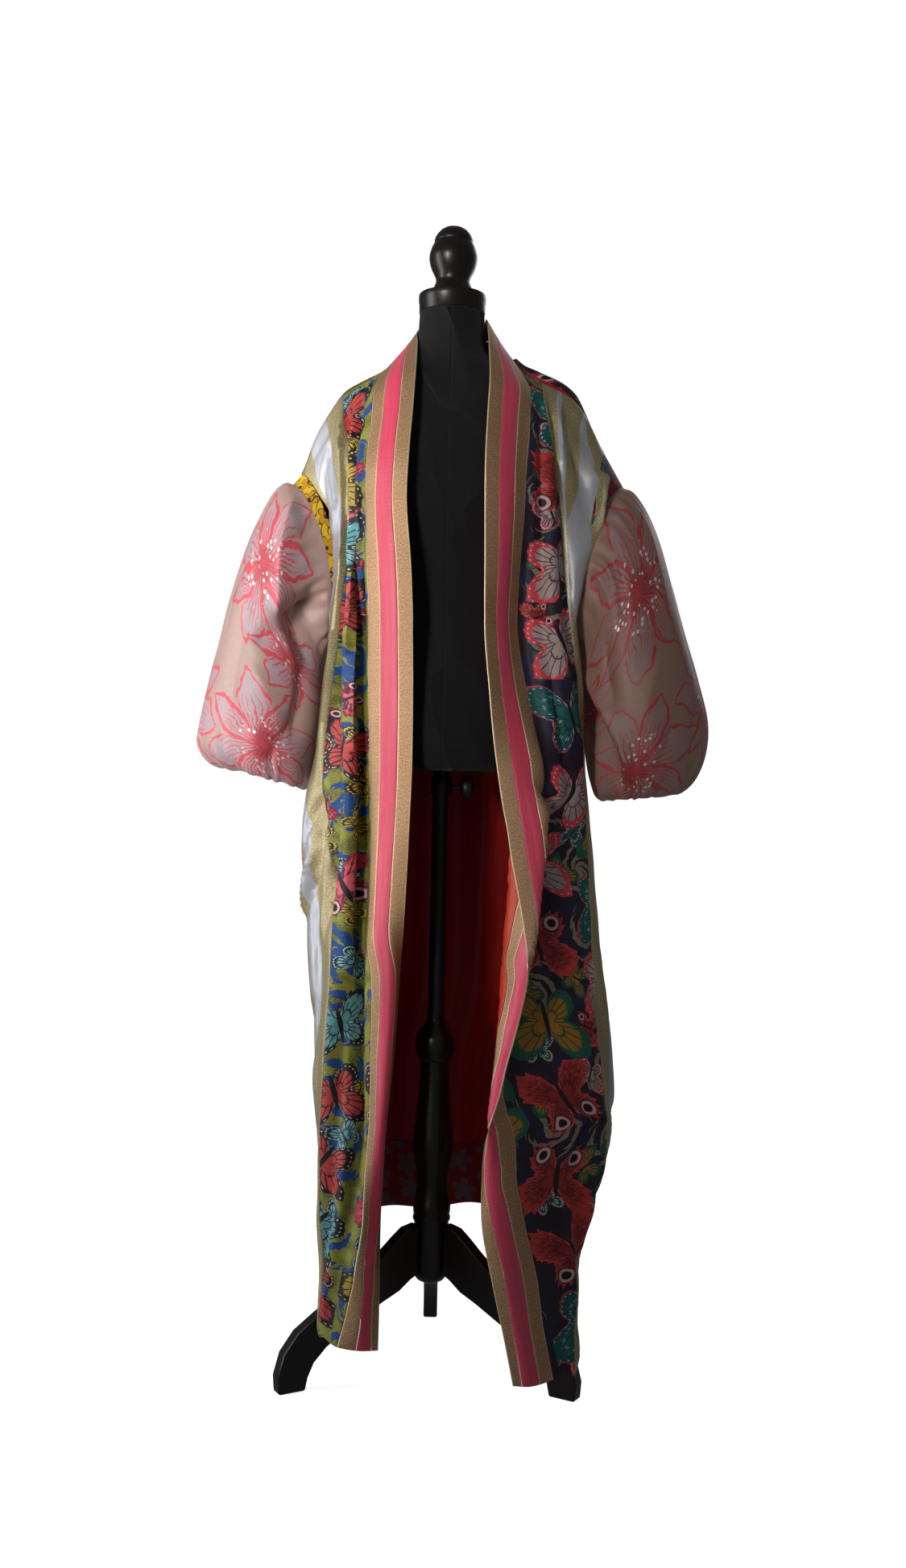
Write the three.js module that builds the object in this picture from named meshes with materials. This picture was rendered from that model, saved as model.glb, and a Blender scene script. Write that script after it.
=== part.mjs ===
// Kimono duster on a dress form with a turned tripod stand. Millimetres, +Z up, front towards -Y.
import * as THREE from "three";

const SHIFT = [-17, -35, 0]; // puts the box's centre on the origin
const SEAM = 0.3; // gap between neighbouring pieces
const CLOTH = 1.2; // wall of the printed and striped cloth
const BAND = 2.0; // wall of the doubled front band
const LINING = 1.0; // wall of the lining
const BAND_EDGES = [0, 22, 48, 70]; // gold, pink and gold strips across the front band
const FORM_X = 2.5; // the form's own axis
const REST = 1.0; // nearest the cloth's inner face comes to the form before facets are counted

const V = (x, y, z) => new THREE.Vector3(x, y, z);
const group = new THREE.Group();
group.name = "kimono_duster";

const LOOKS = {
  olive: [0x9c9636, 0.8],
  navy: [0x232033, 0.75],
  stripe: [0xc9bda0, 0.4],
  gold: [0xb58a55, 0.55],
  pink: [0xd84a70, 0.45],
  lining: [0x7a1512, 0.6],
  orange: [0xc8442a, 0.6],
  hemband: [0xa02a2c, 0.7],
  yellow: [0xd9ad22, 0.7],
  redprint: [0x8c2038, 0.7],
  blush: [0xcda996, 0.5],
  form: [0x141416, 0.9],
  wood: [0x120e0c, 0.35],
  steel: [0x2a2a2c, 0.35],
};
function add(name, geometry, look) {
  const [color, roughness] = LOOKS[look];
  const mesh = new THREE.Mesh(geometry, new THREE.MeshStandardMaterial({ color, roughness }));
  mesh.name = name;
  group.add(mesh);
  return mesh;
}

// ---- the form's torso: sections across its height ----
const TORSO = [
  // z, half width, half depth
  [876, 126, 94],
  [884, 134, 101],
  [930, 140, 106],
  [1000, 134, 100],
  [1090, 116, 86],
  [1160, 128, 92],
  [1260, 146, 106],
  [1330, 154, 96],
  [1390, 157, 77],
  [1418, 150, 67],
  [1432, 139, 61],
  [1441, 127, 58],
  [1450, 111, 55],
  [1460, 93, 53],
  [1470, 75, 51.5],
  [1482, 60, 49],
  [1500, 51.5, 48],
  [1549, 47.5, 47.5],
];
// Cubic through the rows of a table, by its first column; the others are numbers or points.
function cubic(rows, key, pick) {
  let i = 0;
  const up = rows[rows.length - 1][0] > rows[0][0] ? 1 : -1;
  while (i < rows.length - 2 && (key - rows[i + 1][0]) * up > 0) i++;
  const k0 = rows[i][0], k1 = rows[i + 1][0], h = k1 - k0;
  const t = Math.min(1, Math.max(0, (key - k0) / h));
  const p0 = pick(rows[i]), p1 = pick(rows[i + 1]);
  const slope = (a) => {
    const lo = Math.max(0, a - 1), hi = Math.min(rows.length - 1, a + 1);
    return (pick(rows[hi]) - pick(rows[lo])) / (rows[hi][0] - rows[lo][0]);
  };
  const m0 = slope(i) * h, m1 = slope(i + 1) * h;
  const t2 = t * t, t3 = t2 * t;
  return (2 * t3 - 3 * t2 + 1) * p0 + (t3 - 2 * t2 + t) * m0 + (3 * t2 - 2 * t3) * p1 + (t3 - t2) * m1;
}
const torsoHalf = (z) => [cubic(TORSO, z, (r) => r[1]), cubic(TORSO, z, (r) => r[2])];
function torsoField(p) {
  const [rx, ry] = torsoHalf(p.z);
  return Math.hypot((p.x - FORM_X) / rx, p.y / ry) - 1;
}
// Moves a point out of the form until it clears it by gap.
function clearOfForm(p, gap) {
  if (p.z < 878 || p.z > 1548) return p;
  for (let n = 0; n < 4; n++) {
    const f = torsoField(p), e = 0.5;
    const g = V(
      torsoField(V(p.x + e, p.y, p.z)) - torsoField(V(p.x - e, p.y, p.z)),
      torsoField(V(p.x, p.y + e, p.z)) - torsoField(V(p.x, p.y - e, p.z)),
      torsoField(V(p.x, p.y, p.z + e)) - torsoField(V(p.x, p.y, p.z - e)),
    ).divideScalar(2 * e);
    const len = g.length(), dist = f / len;
    if (dist >= gap) return p;
    p.addScaledVector(g, (gap - dist) / len);
  }
  return p;
}

// ---- walls from a grid of points ----
function normals(grid, sign, closed) {
  const ni = grid.length, nj = grid[0].length;
  return grid.map((col, i) =>
    col.map((p, j) => {
      if (p.across) {
        const c = col[Math.max(0, j - 1)], d = col[Math.min(nj - 1, j + 1)];
        return p.across.clone().cross(p.along ?? d.clone().sub(c)).normalize().multiplyScalar(sign);
      }
      const a = closed ? grid[(i + ni - 1) % ni][j] : grid[Math.max(0, i - 1)][j];
      const b = closed ? grid[(i + 1) % ni][j] : grid[Math.min(ni - 1, i + 1)][j];
      const c = col[Math.max(0, j - 1)], d = col[Math.min(nj - 1, j + 1)];
      return b.clone().sub(a).cross(d.clone().sub(c)).normalize().multiplyScalar(sign);
    }),
  );
}
function wall(grid, sign, from, thick, closed = false) {
  const n = normals(grid, sign, closed);
  const ni = grid.length, nj = grid[0].length, pos = [], idx = [];
  for (const depth of [from, from + thick])
    for (let i = 0; i < ni; i++)
      for (let j = 0; j < nj; j++) {
        const p = grid[i][j].clone().addScaledVector(n[i][j], -depth);
        pos.push(p.x, p.y, p.z);
      }
  const at = (i, j) => (i % ni) * nj + j, N = ni * nj;
  const edges = new Map();
  const face = (a, b, c) => {
    idx.push(a, b, c, a + N, c + N, b + N);
    for (const [u, v] of [[a, b], [b, c], [c, a]]) edges.set(u * N + v, [u, v]);
  };
  for (let i = 0; i < (closed ? ni : ni - 1); i++)
    for (let j = 0; j < nj - 1; j++) {
      const q = [at(i, j), at(i + 1, j), at(i + 1, j + 1), at(i, j + 1)];
      if (sign < 0) q.reverse();
      face(q[0], q[1], q[2]);
      face(q[0], q[2], q[3]);
    }
  for (const [u, v] of edges.values())
    if (!edges.has(v * N + u)) {
      // both sides of a seam split their end faces the same way
      if (u < v) idx.push(v, u, v + N, u, u + N, v + N);
      else idx.push(v, u, u + N, v, u + N, v + N);
    }
  const g = new THREE.BufferGeometry();
  g.setAttribute("position", new THREE.Float32BufferAttribute(pos, 3));
  g.setIndex(idx);
  g.computeVertexNormals();
  return g;
}

// ---- armholes: outermost (top), front, lowest (underarm) and back point of each ring ----
const around = ([o, f, i, b], deg) => {
  const t = (deg * Math.PI) / 180, c = Math.cos(t), s = Math.sin(t), c2 = Math.cos(2 * t);
  const at = (k) =>
    (o[k] + f[k] + i[k] + b[k]) / 4 + (c * (o[k] - i[k])) / 2 + (s * (f[k] - b[k])) / 2 + (c2 * (o[k] + i[k] - f[k] - b[k])) / 4;
  return V(at(0), at(1), at(2));
};
const HOLE_R = [[-214, 4, 1308], [-156, -34, 1195], [-155, 16, 1072], [-190, 58, 1190]];
const HOLE_L = [[232, 4, 1348], [206, -62, 1222], [190, -5, 1058], [218, 60, 1200]];

// ---- front sheets: rows from the centre back of the neck, over the shoulder, to the hem ----
// Each row: label, z at the front edge, z at the side, then the turning points from the front edge to
// the side seam as [x, y] or [x, y, z]: edge, band, band, panel, panel, print seam, side, side seam.
// A number in the last place is the angle on the armhole.
const FRONT_R = [
  [1620, 1545, 0, [-0.15, 60, 1545], [-0.15, 68, 1512], [-0.15, 80, 1477], [-0.15, 86, 1455], [-0.15, 90, 1430], [-0.15, 92, 1420], [-0.15, 94, 1400], [-0.15, 96, 1380]],
  [1560, 1538, 0, [-40, 44, 1538], [-56, 50, 1509], [-76, 57, 1479], [-90, 62, 1455], [-100, 64, 1440], [-110, 66, 1420], [-120, 66, 1400], [-130, 66, 1380]],
  [1500, 1523, 0, [-47, 2, 1523], [-72, 3, 1491], [-96, 2, 1464], [-112, -4, 1453], [-134, -6, 1441], [-153, -6, 1428], [-186, -3, 1376], 0],
  [1450, 1461, 0, [-47, -62, 1461], [-77, -58, 1446], [-102, -52, 1430], [-116, -48, 1421], [-133, -44, 1411], [-153, -38, 1396], [-182, -24, 1346], 19],
  [1395, 1395, 0, [-49, -96, 1395], [-77, -88, 1386], [-103, -76, 1376], [-115, -70, 1369], [-131, -64, 1364], [-150, -53, 1356], [-176, -38, 1316], 37],
  [1312, 1312, 1262, [-53, -121], [-80, -113], [-107, -97], [-117, -89], [-131, -86], [-144, -64], [-168, -50], 60],
  [1250, 1250, 1225, [-54, -128], [-82, -119], [-110, -101], [-116, -92], [-129, -93], [-140, -68], [-163, -56], 82],
  [1165, 1165, 1150, [-46, -131], [-77, -124], [-109, -106], [-115, -90], [-126, -96], [-141, -69], [-163, -54], 115],
  [1100, 1100, 1098, [-42, -131], [-74, -124], [-106, -106], [-113, -88], [-128, -97], [-146, -69], [-166, -50], 150],
  [1060, 1060, 1072, [-41, -131], [-72, -123], [-104, -106], [-112, -88], [-128, -98], [-149, -69], [-167, -50], 180],
  [985, 985, 990, [-39, -131], [-70, -122], [-101, -106], [-110, -86], [-126, -98], [-157, -67], [-174, -47], [-146, 22]],
  [883, 883, 883, [-38, -131], [-66, -122], [-94, -106], [-110, -78], [-131, -95], [-167, -61], [-181, -42], [-148, 26]],
  [829, 829, 829, [-39, -131], [-65, -122], [-90, -106], [-108, -74], [-135, -96], [-168, -63], [-188, -34], [-166, 32]],
  [753, 753, 753, [-41, -130], [-66, -125], [-91, -107], [-105, -77], [-130, -99], [-155, -81], [-197, -32], [-180, 40]],
  [667, 667, 667, [-44, -126], [-67, -127], [-94, -108], [-103, -82], [-124, -101], [-144, -91], [-189, -33], [-178, 42]],
  [592, 592, 592, [-48, -107], [-57, -129], [-96, -113], [-103, -89], [-122, -105], [-144, -95], [-184, -41], [-171, 42]],
  [473, 473, 475, [-54, -103], [-61, -129], [-92, -110], [-100, -93], [-124, -106], [-148, -95], [-173, -52], [-158, 40]],
  [361, 365, 375, [-63, -93], [-67, -126], [-90, -114], [-98, -100], [-125, -108], [-153, -88], [-160, -62], [-149, 36]],
  [240, 250, 285, [-68, -88], [-71, -118], [-93, -130], [-106, -120], [-127, -116], [-151, -92], [-153, -72], [-144, 34]],
  [154, 175, 220, [-67, -108], [-80, -132], [-104, -134], [-115, -125], [-131, -118], [-151, -98], [-152, -80], [-141, 34]],
  [75, 115, 170, [-66, -126], [-89, -141], [-115, -134], [-125, -128], [-138, -120], [-152, -110], [-154, -96], [-140, 34]],
  [0, 69, 130, [-66, -138], [-92, -142], [-124, -137], [-133, -132], [-143, -126], [-152, -116, 80], [-155, -102, 118], [-140, 34]],
];
const FRONT_L = [
  [1620, 1545, 0, [0.15, 60, 1545], [0.15, 68, 1512], [0.15, 80, 1477], [0.15, 86, 1455], [0.15, 90, 1430], [0.15, 92, 1420], [0.15, 94, 1400], [0.15, 96, 1380]],
  [1560, 1543, 0, [46, 44, 1543], [62, 50, 1514], [82, 57, 1485], [96, 62, 1460], [106, 64, 1445], [116, 66, 1430], [128, 66, 1410], [140, 66, 1390]],
  [1500, 1541, 0, [54.8, 2, 1541], [78, 3, 1507], [104, 2, 1474], [113, -8, 1462], [122, -11, 1456], [134, -12, 1449], [183, -8, 1422], 0],
  [1450, 1450, 0, [59, -74, 1450], [88, -66, 1439], [115, -54, 1428], [121, -50, 1425], [128, -48, 1421], [139, -44, 1416], [186, -28, 1380], 19],
  [1395, 1392, 0, [57, -102, 1392], [87, -92, 1384], [116, -74, 1375], [124, -70, 1372], [135, -66, 1369], [149, -56, 1366], [194, -40, 1332], 37],
  [1312, 1312, 1275, [54.5, -130], [86, -117], [115, -93], [124, -88], [139, -84], [159, -64], [198, -52], 60],
  [1250, 1250, 1235, [55, -137], [85, -124], [112, -99], [122, -91], [143, -86], [166, -69], [196, -62], 82],
  [1165, 1165, 1155, [57, -138], [84, -122], [107, -93], [118, -83], [149, -90], [174, -73], [189, -71], 115],
  [1100, 1100, 1090, [58.5, -138], [83, -116], [104, -89], [116, -81], [151, -92], [183, -73], [190, -66], 150],
  [1060, 1060, 1058, [60, -138], [86, -116], [107, -89], [120, -83], [155, -93], [189, -71], [195, -58], 180],
  [985, 985, 985, [68, -134], [93, -116], [119, -95], [130, -89], [160, -95], [202, -61], [205, -46], [191, 18]],
  [935, 935, 935, [73, -134], [103, -122], [131, -107], [139, -99], [163, -97], [206, -60], [208, -44], [193, 20]],
  [883, 883, 883, [80, -132], [112, -127], [144, -117], [149, -107], [167, -99], [209, -58], [211, -40], [197, 26]],
  [829, 829, 829, [89, -135], [152, -127], [140, -109], [149, -101], [171, -95], [214, -51], [220, -6], [212, 38]],
  [796, 796, 796, [96, -138], [153, -133], [119, -107], [141, -97], [173, -91], [215, -50], [223, 0], [215.8, 41]],
  [753, 753, 753, [103, -141], [151, -138], [102, -108], [139, -94], [176, -85], [218, -50], [228, 0], [220, 44]],
  [710, 710, 710, [112, -146], [147, -144], [101.5, -108], [138, -94], [176, -85], [221, -50], [232, 0], [224, 44]],
  [667, 667, 667, [120, -154], [143, -153], [99, -108], [136, -95], [176, -87], [226, -50], [237, 0], [228, 44]],
  [626, 626, 626, [126, -165], [137, -163], [97.5, -108], [136, -96], [177, -88], [229, -50], [241, 0], [232, 44]],
  [592, 592, 592, [128, -178], [128, -156], [95.5, -107], [136, -96], [178, -88], [232, -50], [246, 0], [236, 44]],
  [548, 548, 548, [121, -172], [120, -149], [93.5, -111], [136, -100], [181, -90], [234, -55], [250, -8], [238, 44]],
  [512, 512, 512, [113, -170], [109, -148], [90.5, -124], [135, -104], [183, -92], [237, -58], [253, -12], [240, 44]],
  [473, 473, 473, [103, -167], [98, -148], [87.5, -131], [134, -108], [186, -95], [241, -61], [256, -20], [240, 44]],
  [433, 433, 433, [95, -163], [90, -149], [83.5, -139], [134, -112], [190, -97], [244, -66], [259, -30], [238, 42]],
  [395, 395, 397, [84.5, -155], [81.5, -151], [80, -147], [134, -115], [195, -98], [249, -70], [261, -40], [236, 42]],
  [361, 361, 368, [75, -139], [77, -149], [87, -150], [135, -122], [200, -98], [253, -72], [260, -52], [232, 42]],
  [315, 315, 332, [72, -124], [78, -149], [102, -151], [134, -134], [200, -104], [250, -76], [250, -58], [224, 42]],
  [240, 245, 280, [73, -138], [87, -152], [118, -151], [150, -129], [196, -112], [236, -84], [236, -66], [210, 40]],
  [154, 165, 218, [90, -147], [112, -153], [139, -146], [163, -133], [187, -118], [213, -94], [213, -78], [192, 38]],
  [75, 93, 160, [107, -150], [131, -154], [156, -146], [175, -137], [190, -132], [210, -126], [212, -100, 124], [186, 36]],
  [0, 29, 125, [121, -151], [145, -152], [170, -145], [182, -141], [192, -140], [207, -140, 40], [211, -114, 104], [182, 34]],
];
// Back sheet: label, z at the centre back, then points between the side seams.
const BACK = [
  [1500, 1477, [-96, 50, 1478], [-60, 66, 1478], [0.5, 80, 1477], [64, 66, 1481], [104, 50, 1484]],
  [1450, 1440, [-150, 60, 1402], [-76, 86, 1436], [0, 97, 1440], [80, 86, 1440], [166, 62, 1418]],
  [1395, 1388, [-152, 78, 1366], [-78, 100, 1386], [0, 108, 1388], [82, 100, 1388], [168, 80, 1376]],
  [1312, 1308, [-150, 88, 1300], [-78, 110, 1308], [0, 116, 1308], [80, 110, 1308], [170, 90, 1302]],
  [1165, 1165, [-140, 94], [-72, 116], [0, 120], [76, 116], [166, 96]],
  [1060, 1060, [-136, 96], [-72, 118], [0, 122], [78, 118], [168, 98]],
  [883, 883, [-142, 100], [-72, 120], [0, 128], [80, 122], [176, 102]],
  [592, 600, [-150, 104], [-74, 132], [0, 126], [82, 138], [196, 108]],
  [361, 440, [-138, 106], [-70, 140], [0, 124], [76, 142], [196, 112]],
  [154, 300, [-130, 104], [-68, 142], [0, 122], [72, 144], [184, 110]],
  [0, 198, [-128, 102, 186], [-68, 140, 196], [0, 122, 199], [70, 142, 203], [176, 106, 180]],
];
const LABELS = [1500, 1488, 1475, 1462, 1450, 1436, 1422, 1395, 1355, 1312, 1250, 1205, 1165, 1130, 1100, 1060, 985, 935, 883, 829, 796, 753, 710, 667, 626, 592, 548, 512, 473, 433, 395, 361, 315, 240, 154, 75, 0];

const armholeAngle = (table, label) => cubic(table.filter((r) => typeof r[10] === "number"), label, (r) => r[10]);
// Turning points of a row's sheet at any label.
function frontPoints(table, hole, label) {
  const rows = table.map((r) => {
    const pts = r.slice(3).map((p, k) => {
      if (typeof p === "number") return around(hole, p);
      const w = [0, 0, 0.05, 0.1, 0.2, 0.4, 0.7, 1][k];
      return V(p[0], p[1], p[2] ?? r[1] + (r[2] - r[1]) * w);
    });
    return [r[0], pts];
  });
  const points = [...rows[0][1].keys()].map((k) =>
    V(cubic(rows, label, (r) => r[1][k].x), cubic(rows, label, (r) => r[1][k].y), cubic(rows, label, (r) => r[1][k].z)),
  );
  if (label <= 1500 && label >= 1060) points[7] = around(hole, armholeAngle(table, label));
  return points;
}
// A curve by its own length: at(s), its length, and the length at each turning point.
function measured(points, steps = 14) {
  const curve = new THREE.CatmullRomCurve3(points, false, "centripetal");
  const n = (points.length - 1) * steps, pts = [], len = [0];
  for (let k = 0; k <= n; k++) pts.push(curve.getPoint(k / n));
  for (let k = 1; k <= n; k++) len.push(len[k - 1] + pts[k].distanceTo(pts[k - 1]));
  return {
    length: len[n],
    turn: (k) => len[k * steps],
    at(s) {
      let k = 1;
      while (k < n && len[k] < s) k++;
      return pts[k - 1].clone().lerp(pts[k], (s - len[k - 1]) / (len[k] - len[k - 1]));
    },
  };
}
const rowOf = (table, hole, label) => measured(frontPoints(table, hole, label));
const spread = (a, b, n) => Array.from({ length: n + 1 }, (_, k) => a + ((b - a) * k) / n);

// Grid of a front piece: columns at the lengths that cut(row) names, rows at the labels. Each point
// keeps its direction across the sheet, so neighbouring pieces end in the same plane.
function frontGrid(table, hole, labels, cut, gap) {
  const rows = labels.map((label) => {
    const row = rowOf(table, hole, label);
    return cut(row, label).map((s) => {
      const p = clearOfForm(row.at(s), gap);
      p.across = row.at(Math.min(row.length, s + 2.5)).sub(row.at(Math.max(0, s - 2.5)));
      if (label === 1620) p.along = V(table === FRONT_R ? -1 : 1, 0, 0);
      return p;
    });
  });
  return rows[0].map((_, i) => rows.map((r) => r[i]));
}
const SIDES = [
  ["right", FRONT_R, HOLE_R, 1, "olive"],
  ["left", FRONT_L, HOLE_L, -1, "navy"],
];
// The right front and the back carry no folded edge, so they need fewer rows.
const FEWER = LABELS.filter((l) => ![935, 796, 710, 626, 548, 512, 433, 395].includes(l));
const NECK_LABELS = [1620, 1590, 1560, 1530];
const G = SEAM / 2;
for (const [side, table, hole, sign, look] of SIDES) {
  const labels = side === "left" ? LABELS : FEWER;
  const bandLabels = [...NECK_LABELS, ...labels];
  BAND_EDGES.slice(1).forEach((to, k) => {
    const from = BAND_EDGES[k];
    const name = ["band_edge_", "band_pink_", "band_outer_"][k] + side;
    const grid = frontGrid(table, hole, bandLabels, () => spread(from + (k ? 1.3 * G : 0), to - 1.3 * G, 2), BAND + REST);
    add(name, wall(grid, sign, 0, BAND), k === 1 ? "pink" : "gold");
  });
  const printCut = (row) => spread(70 + 2 * G, row.turn(5) - G, 6);
  const printGrid = frontGrid(table, hole, labels, printCut, CLOTH + REST);
  add("print_panel_" + side, wall(printGrid, sign, 0, CLOTH), look);
  const stripeCut = (row) => spread(row.turn(5) + G, row.length - G, 4);
  const stripeGrid = frontGrid(table, hole, labels, stripeCut, CLOTH + REST);
  add("stripe_panel_" + side, wall(stripeGrid, sign, 0, CLOTH), "stripe");
  if (side === "left") {
    const rows = labels.filter((l) => l <= 985);
    const liningCut = (row) => printCut(row).map((v, k) => (k ? v : v + 0.6));
    const grid = frontGrid(table, hole, rows, liningCut, CLOTH + REST);
    const inset = grid.map((col) => col.slice(0, -1)); // stops a row short of the hem
    add("lining_left", wall(inset, sign, CLOTH + SEAM, LINING), "orange");
  }
}

// ---- back: its top follows the shoulder seams and the neck seam ----
function backRow(label) {
  const a = rowOf(FRONT_R, HOLE_R, label), b = rowOf(FRONT_L, HOLE_L, label);
  const mid = BACK[0].slice(2).map((_, k) => {
    const at = (axis) =>
      cubic(BACK, label, (r) => {
        const p = r[2 + k];
        return axis === 2 ? (p[2] ?? r[1]) : p[axis];
      });
    return V(at(0), at(1), at(2));
  });
  const other = (hole, table, row) => {
    // the back edge of the armhole mirrors the front edge's angle; below it both share the side seam
    if (label < 1060) return row.at(row.length);
    return around(hole, 360 - armholeAngle(table, label));
  };
  return [other(HOLE_R, FRONT_R, a), mid, other(HOLE_L, FRONT_L, b)];
}
const SHOULDER = 5, NECK = 6; // cells along each shoulder and round the back of the neck
const JOIN = 1.9; // gap at the shoulder and neck seams
function seamPoint(p, across, along) {
  const q = p.clone().addScaledVector(along.clone().normalize(), JOIN);
  q.across = across;
  q.along = along;
  return q;
}
function backTop() {
  const shoulder = (table, hole, toNeck) => {
    const top = rowOf(table, hole, 1500), next = rowOf(table, hole, 1494);
    return spread(top.length, 76, SHOULDER).map((s) => {
      const across = top.at(Math.min(top.length, s + 2.5)).sub(top.at(Math.max(0, s - 2.5)));
      const p = clearOfForm(top.at(s), CLOTH + REST), q = clearOfForm(next.at(Math.min(s, next.length)), CLOTH + REST);
      return seamPoint(p, across.multiplyScalar(toNeck), p.clone().sub(q));
    });
  };
  const neckAt = (t, s) => {
    const label = 1500 + 120 * (1 - Math.abs(2 * t - 1));
    return rowOf(t < 0.5 ? FRONT_R : FRONT_L, t < 0.5 ? HOLE_R : HOLE_L, label).at(s);
  };
  return [
    ...shoulder(FRONT_R, HOLE_R, -1),
    ...spread(0, 1, NECK).slice(1, -1).map((t) =>
      seamPoint(neckAt(t, 70), neckAt(t + 0.02, 70).sub(neckAt(t - 0.02, 70)), neckAt(t, 70).sub(neckAt(t, 67)))),
    ...shoulder(FRONT_L, HOLE_L, 1).reverse(),
  ];
}
const COLS = 2 * SHOULDER + NECK;
const top = backTop();
function backBelow(label) {
  const [a, mid, b] = backRow(label);
  const row = measured([a, ...mid, b]);
  return spread(0, row.length, COLS).map((s) => row.at(s));
}
const first = backBelow(1450);
const RISE = [...Array(6).fill(5), 3, 0, 0, 0, 5, ...Array(6).fill(13)]; // how far the back stands over each shoulder
const backRows = FEWER.map((label) => {
  if (label === 1500) return top;
  if (label <= 1450) return backBelow(label);
  const t = (1500 - label) / 50, ends = backRow(label);
  return top.map((p, i) => {
    if (i === 0) return ends[0];
    if (i === COLS) return ends[2];
    const edge = Math.min(1, Math.min(i, COLS - i) / 2);
    return p.clone().lerp(first[i], t).add(V(0, 0.2, 1).multiplyScalar(RISE[i] * edge * Math.sin(Math.PI * t)));
  });
});
const backGrid = backRows[0].map((_, i) =>
  backRows.map((r, j) => {
    if (j === 0) return r[i];
    const p = clearOfForm(r[i].clone(), CLOTH + SEAM + LINING + REST);
    if (i === 0 || i === COLS) p.y += 0.6; // clear of the side panels
    return p;
  }),
);
add("back_panel", wall(backGrid, 1, 0, CLOTH), "navy");
const LINING_FROM = FEWER.indexOf(1422), HEM_FROM = FEWER.indexOf(154);
const inside = backGrid.slice(1, -1);
add("back_lining", wall(inside.map((c) => c.slice(LINING_FROM, HEM_FROM + 1)), 1, CLOTH + SEAM, LINING), "lining");
add(
  "back_hem_band",
  wall(inside.map((c) => [c[HEM_FROM].clone().lerp(c[HEM_FROM + 1], 0.01), ...c.slice(HEM_FROM + 1)]), 1, CLOTH + SEAM, LINING),
  "hemband",
);

// ---- armhole bands and balloon sleeves ----
// Each ring: outer, front, inner and back point.
const SLEEVE_R = [
  [[-227, 4, 1293], [-171, -41, 1186], [-172, 17, 1063], [-200, 60, 1180]],
  [[-243, 4, 1291], [-194, -54, 1176], [-173, 18, 1050], [-214, 68, 1166]],
  [[-262, 4, 1268], [-213, -66, 1155], [-173, 18, 1036], [-230, 76, 1145]],
  [[-291, 4, 1208], [-236, -76, 1110], [-173, 18, 1008], [-245, 80, 1105]],
  [[-316, 4, 1125], [-250, -80, 1055], [-173, 18, 978], [-255, 84, 1055]],
  [[-330, 4, 1062], [-257, -82, 1010], [-175, 16, 950], [-262, 86, 1005]],
  [[-344, 4, 1000], [-263, -82, 960], [-179, 12, 920], [-268, 86, 960]],
  [[-357, 4, 935], [-268, -81, 910], [-186, 8, 886], [-272, 85, 912]],
  [[-359, 4, 906], [-268, -76, 884], [-190, 6, 860], [-272, 79, 886]],
  [[-345, 4, 884], [-264, -63, 866], [-197, 4, 846], [-268, 66, 868]],
  [[-322, 4, 874], [-261, -48, 862], [-208, 4, 848], [-265, 50, 864]],
  [[-309, 4, 884], [-261, -40, 876], [-216, 4, 864], [-264, 42, 877]],
  [[-306, 4, 904], [-261, -38, 898], [-218, 4, 888], [-264, 40, 899]],
];
const SLEEVE_L = [
  [[262, 4, 1297], [212, -62, 1212], [195, -4, 1048], [226, 62, 1190]],
  [[280, 4, 1284], [235, -73, 1199], [202, -3, 1034], [242, 70, 1180]],
  [[306, 4, 1244], [255, -83, 1160], [204, -2, 1014], [262, 78, 1150]],
  [[333, 4, 1172], [272, -89, 1105], [205, 0, 990], [275, 83, 1100]],
  [[356, 4, 1092], [284, -91, 1040], [207, 2, 960], [287, 86, 1040]],
  [[378, 4, 1022], [292, -91, 985], [210, 4, 930], [296, 86, 985]],
  [[393, 4, 958], [298, -89, 930], [213, 4, 900], [302, 84, 930]],
  [[391, 4, 912], [298, -84, 888], [219, 4, 868], [303, 79, 890]],
  [[375, 4, 872], [294, -70, 856], [228, 4, 846], [299, 66, 860]],
  [[350, 4, 850], [290, -50, 842], [243, 4, 838], [296, 50, 846]],
  [[338, 4, 860], [289, -41, 855], [250, 4, 851], [294, 42, 858]],
  [[335, 4, 882], [289, -39, 878], [252, 4, 874], [294, 40, 880]],
];
const RIPPLE = 3.2; // gathers near the cuff
function sleeveRow(rings, t, deg) {
  const rows = rings.map((r, k) => [k, r]);
  const at = [0, 1, 2, 3].map((c) => [0, 1, 2].map((a) => cubic(rows, t, (r) => r[1][c][a])));
  return around(at, deg);
}
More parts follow.
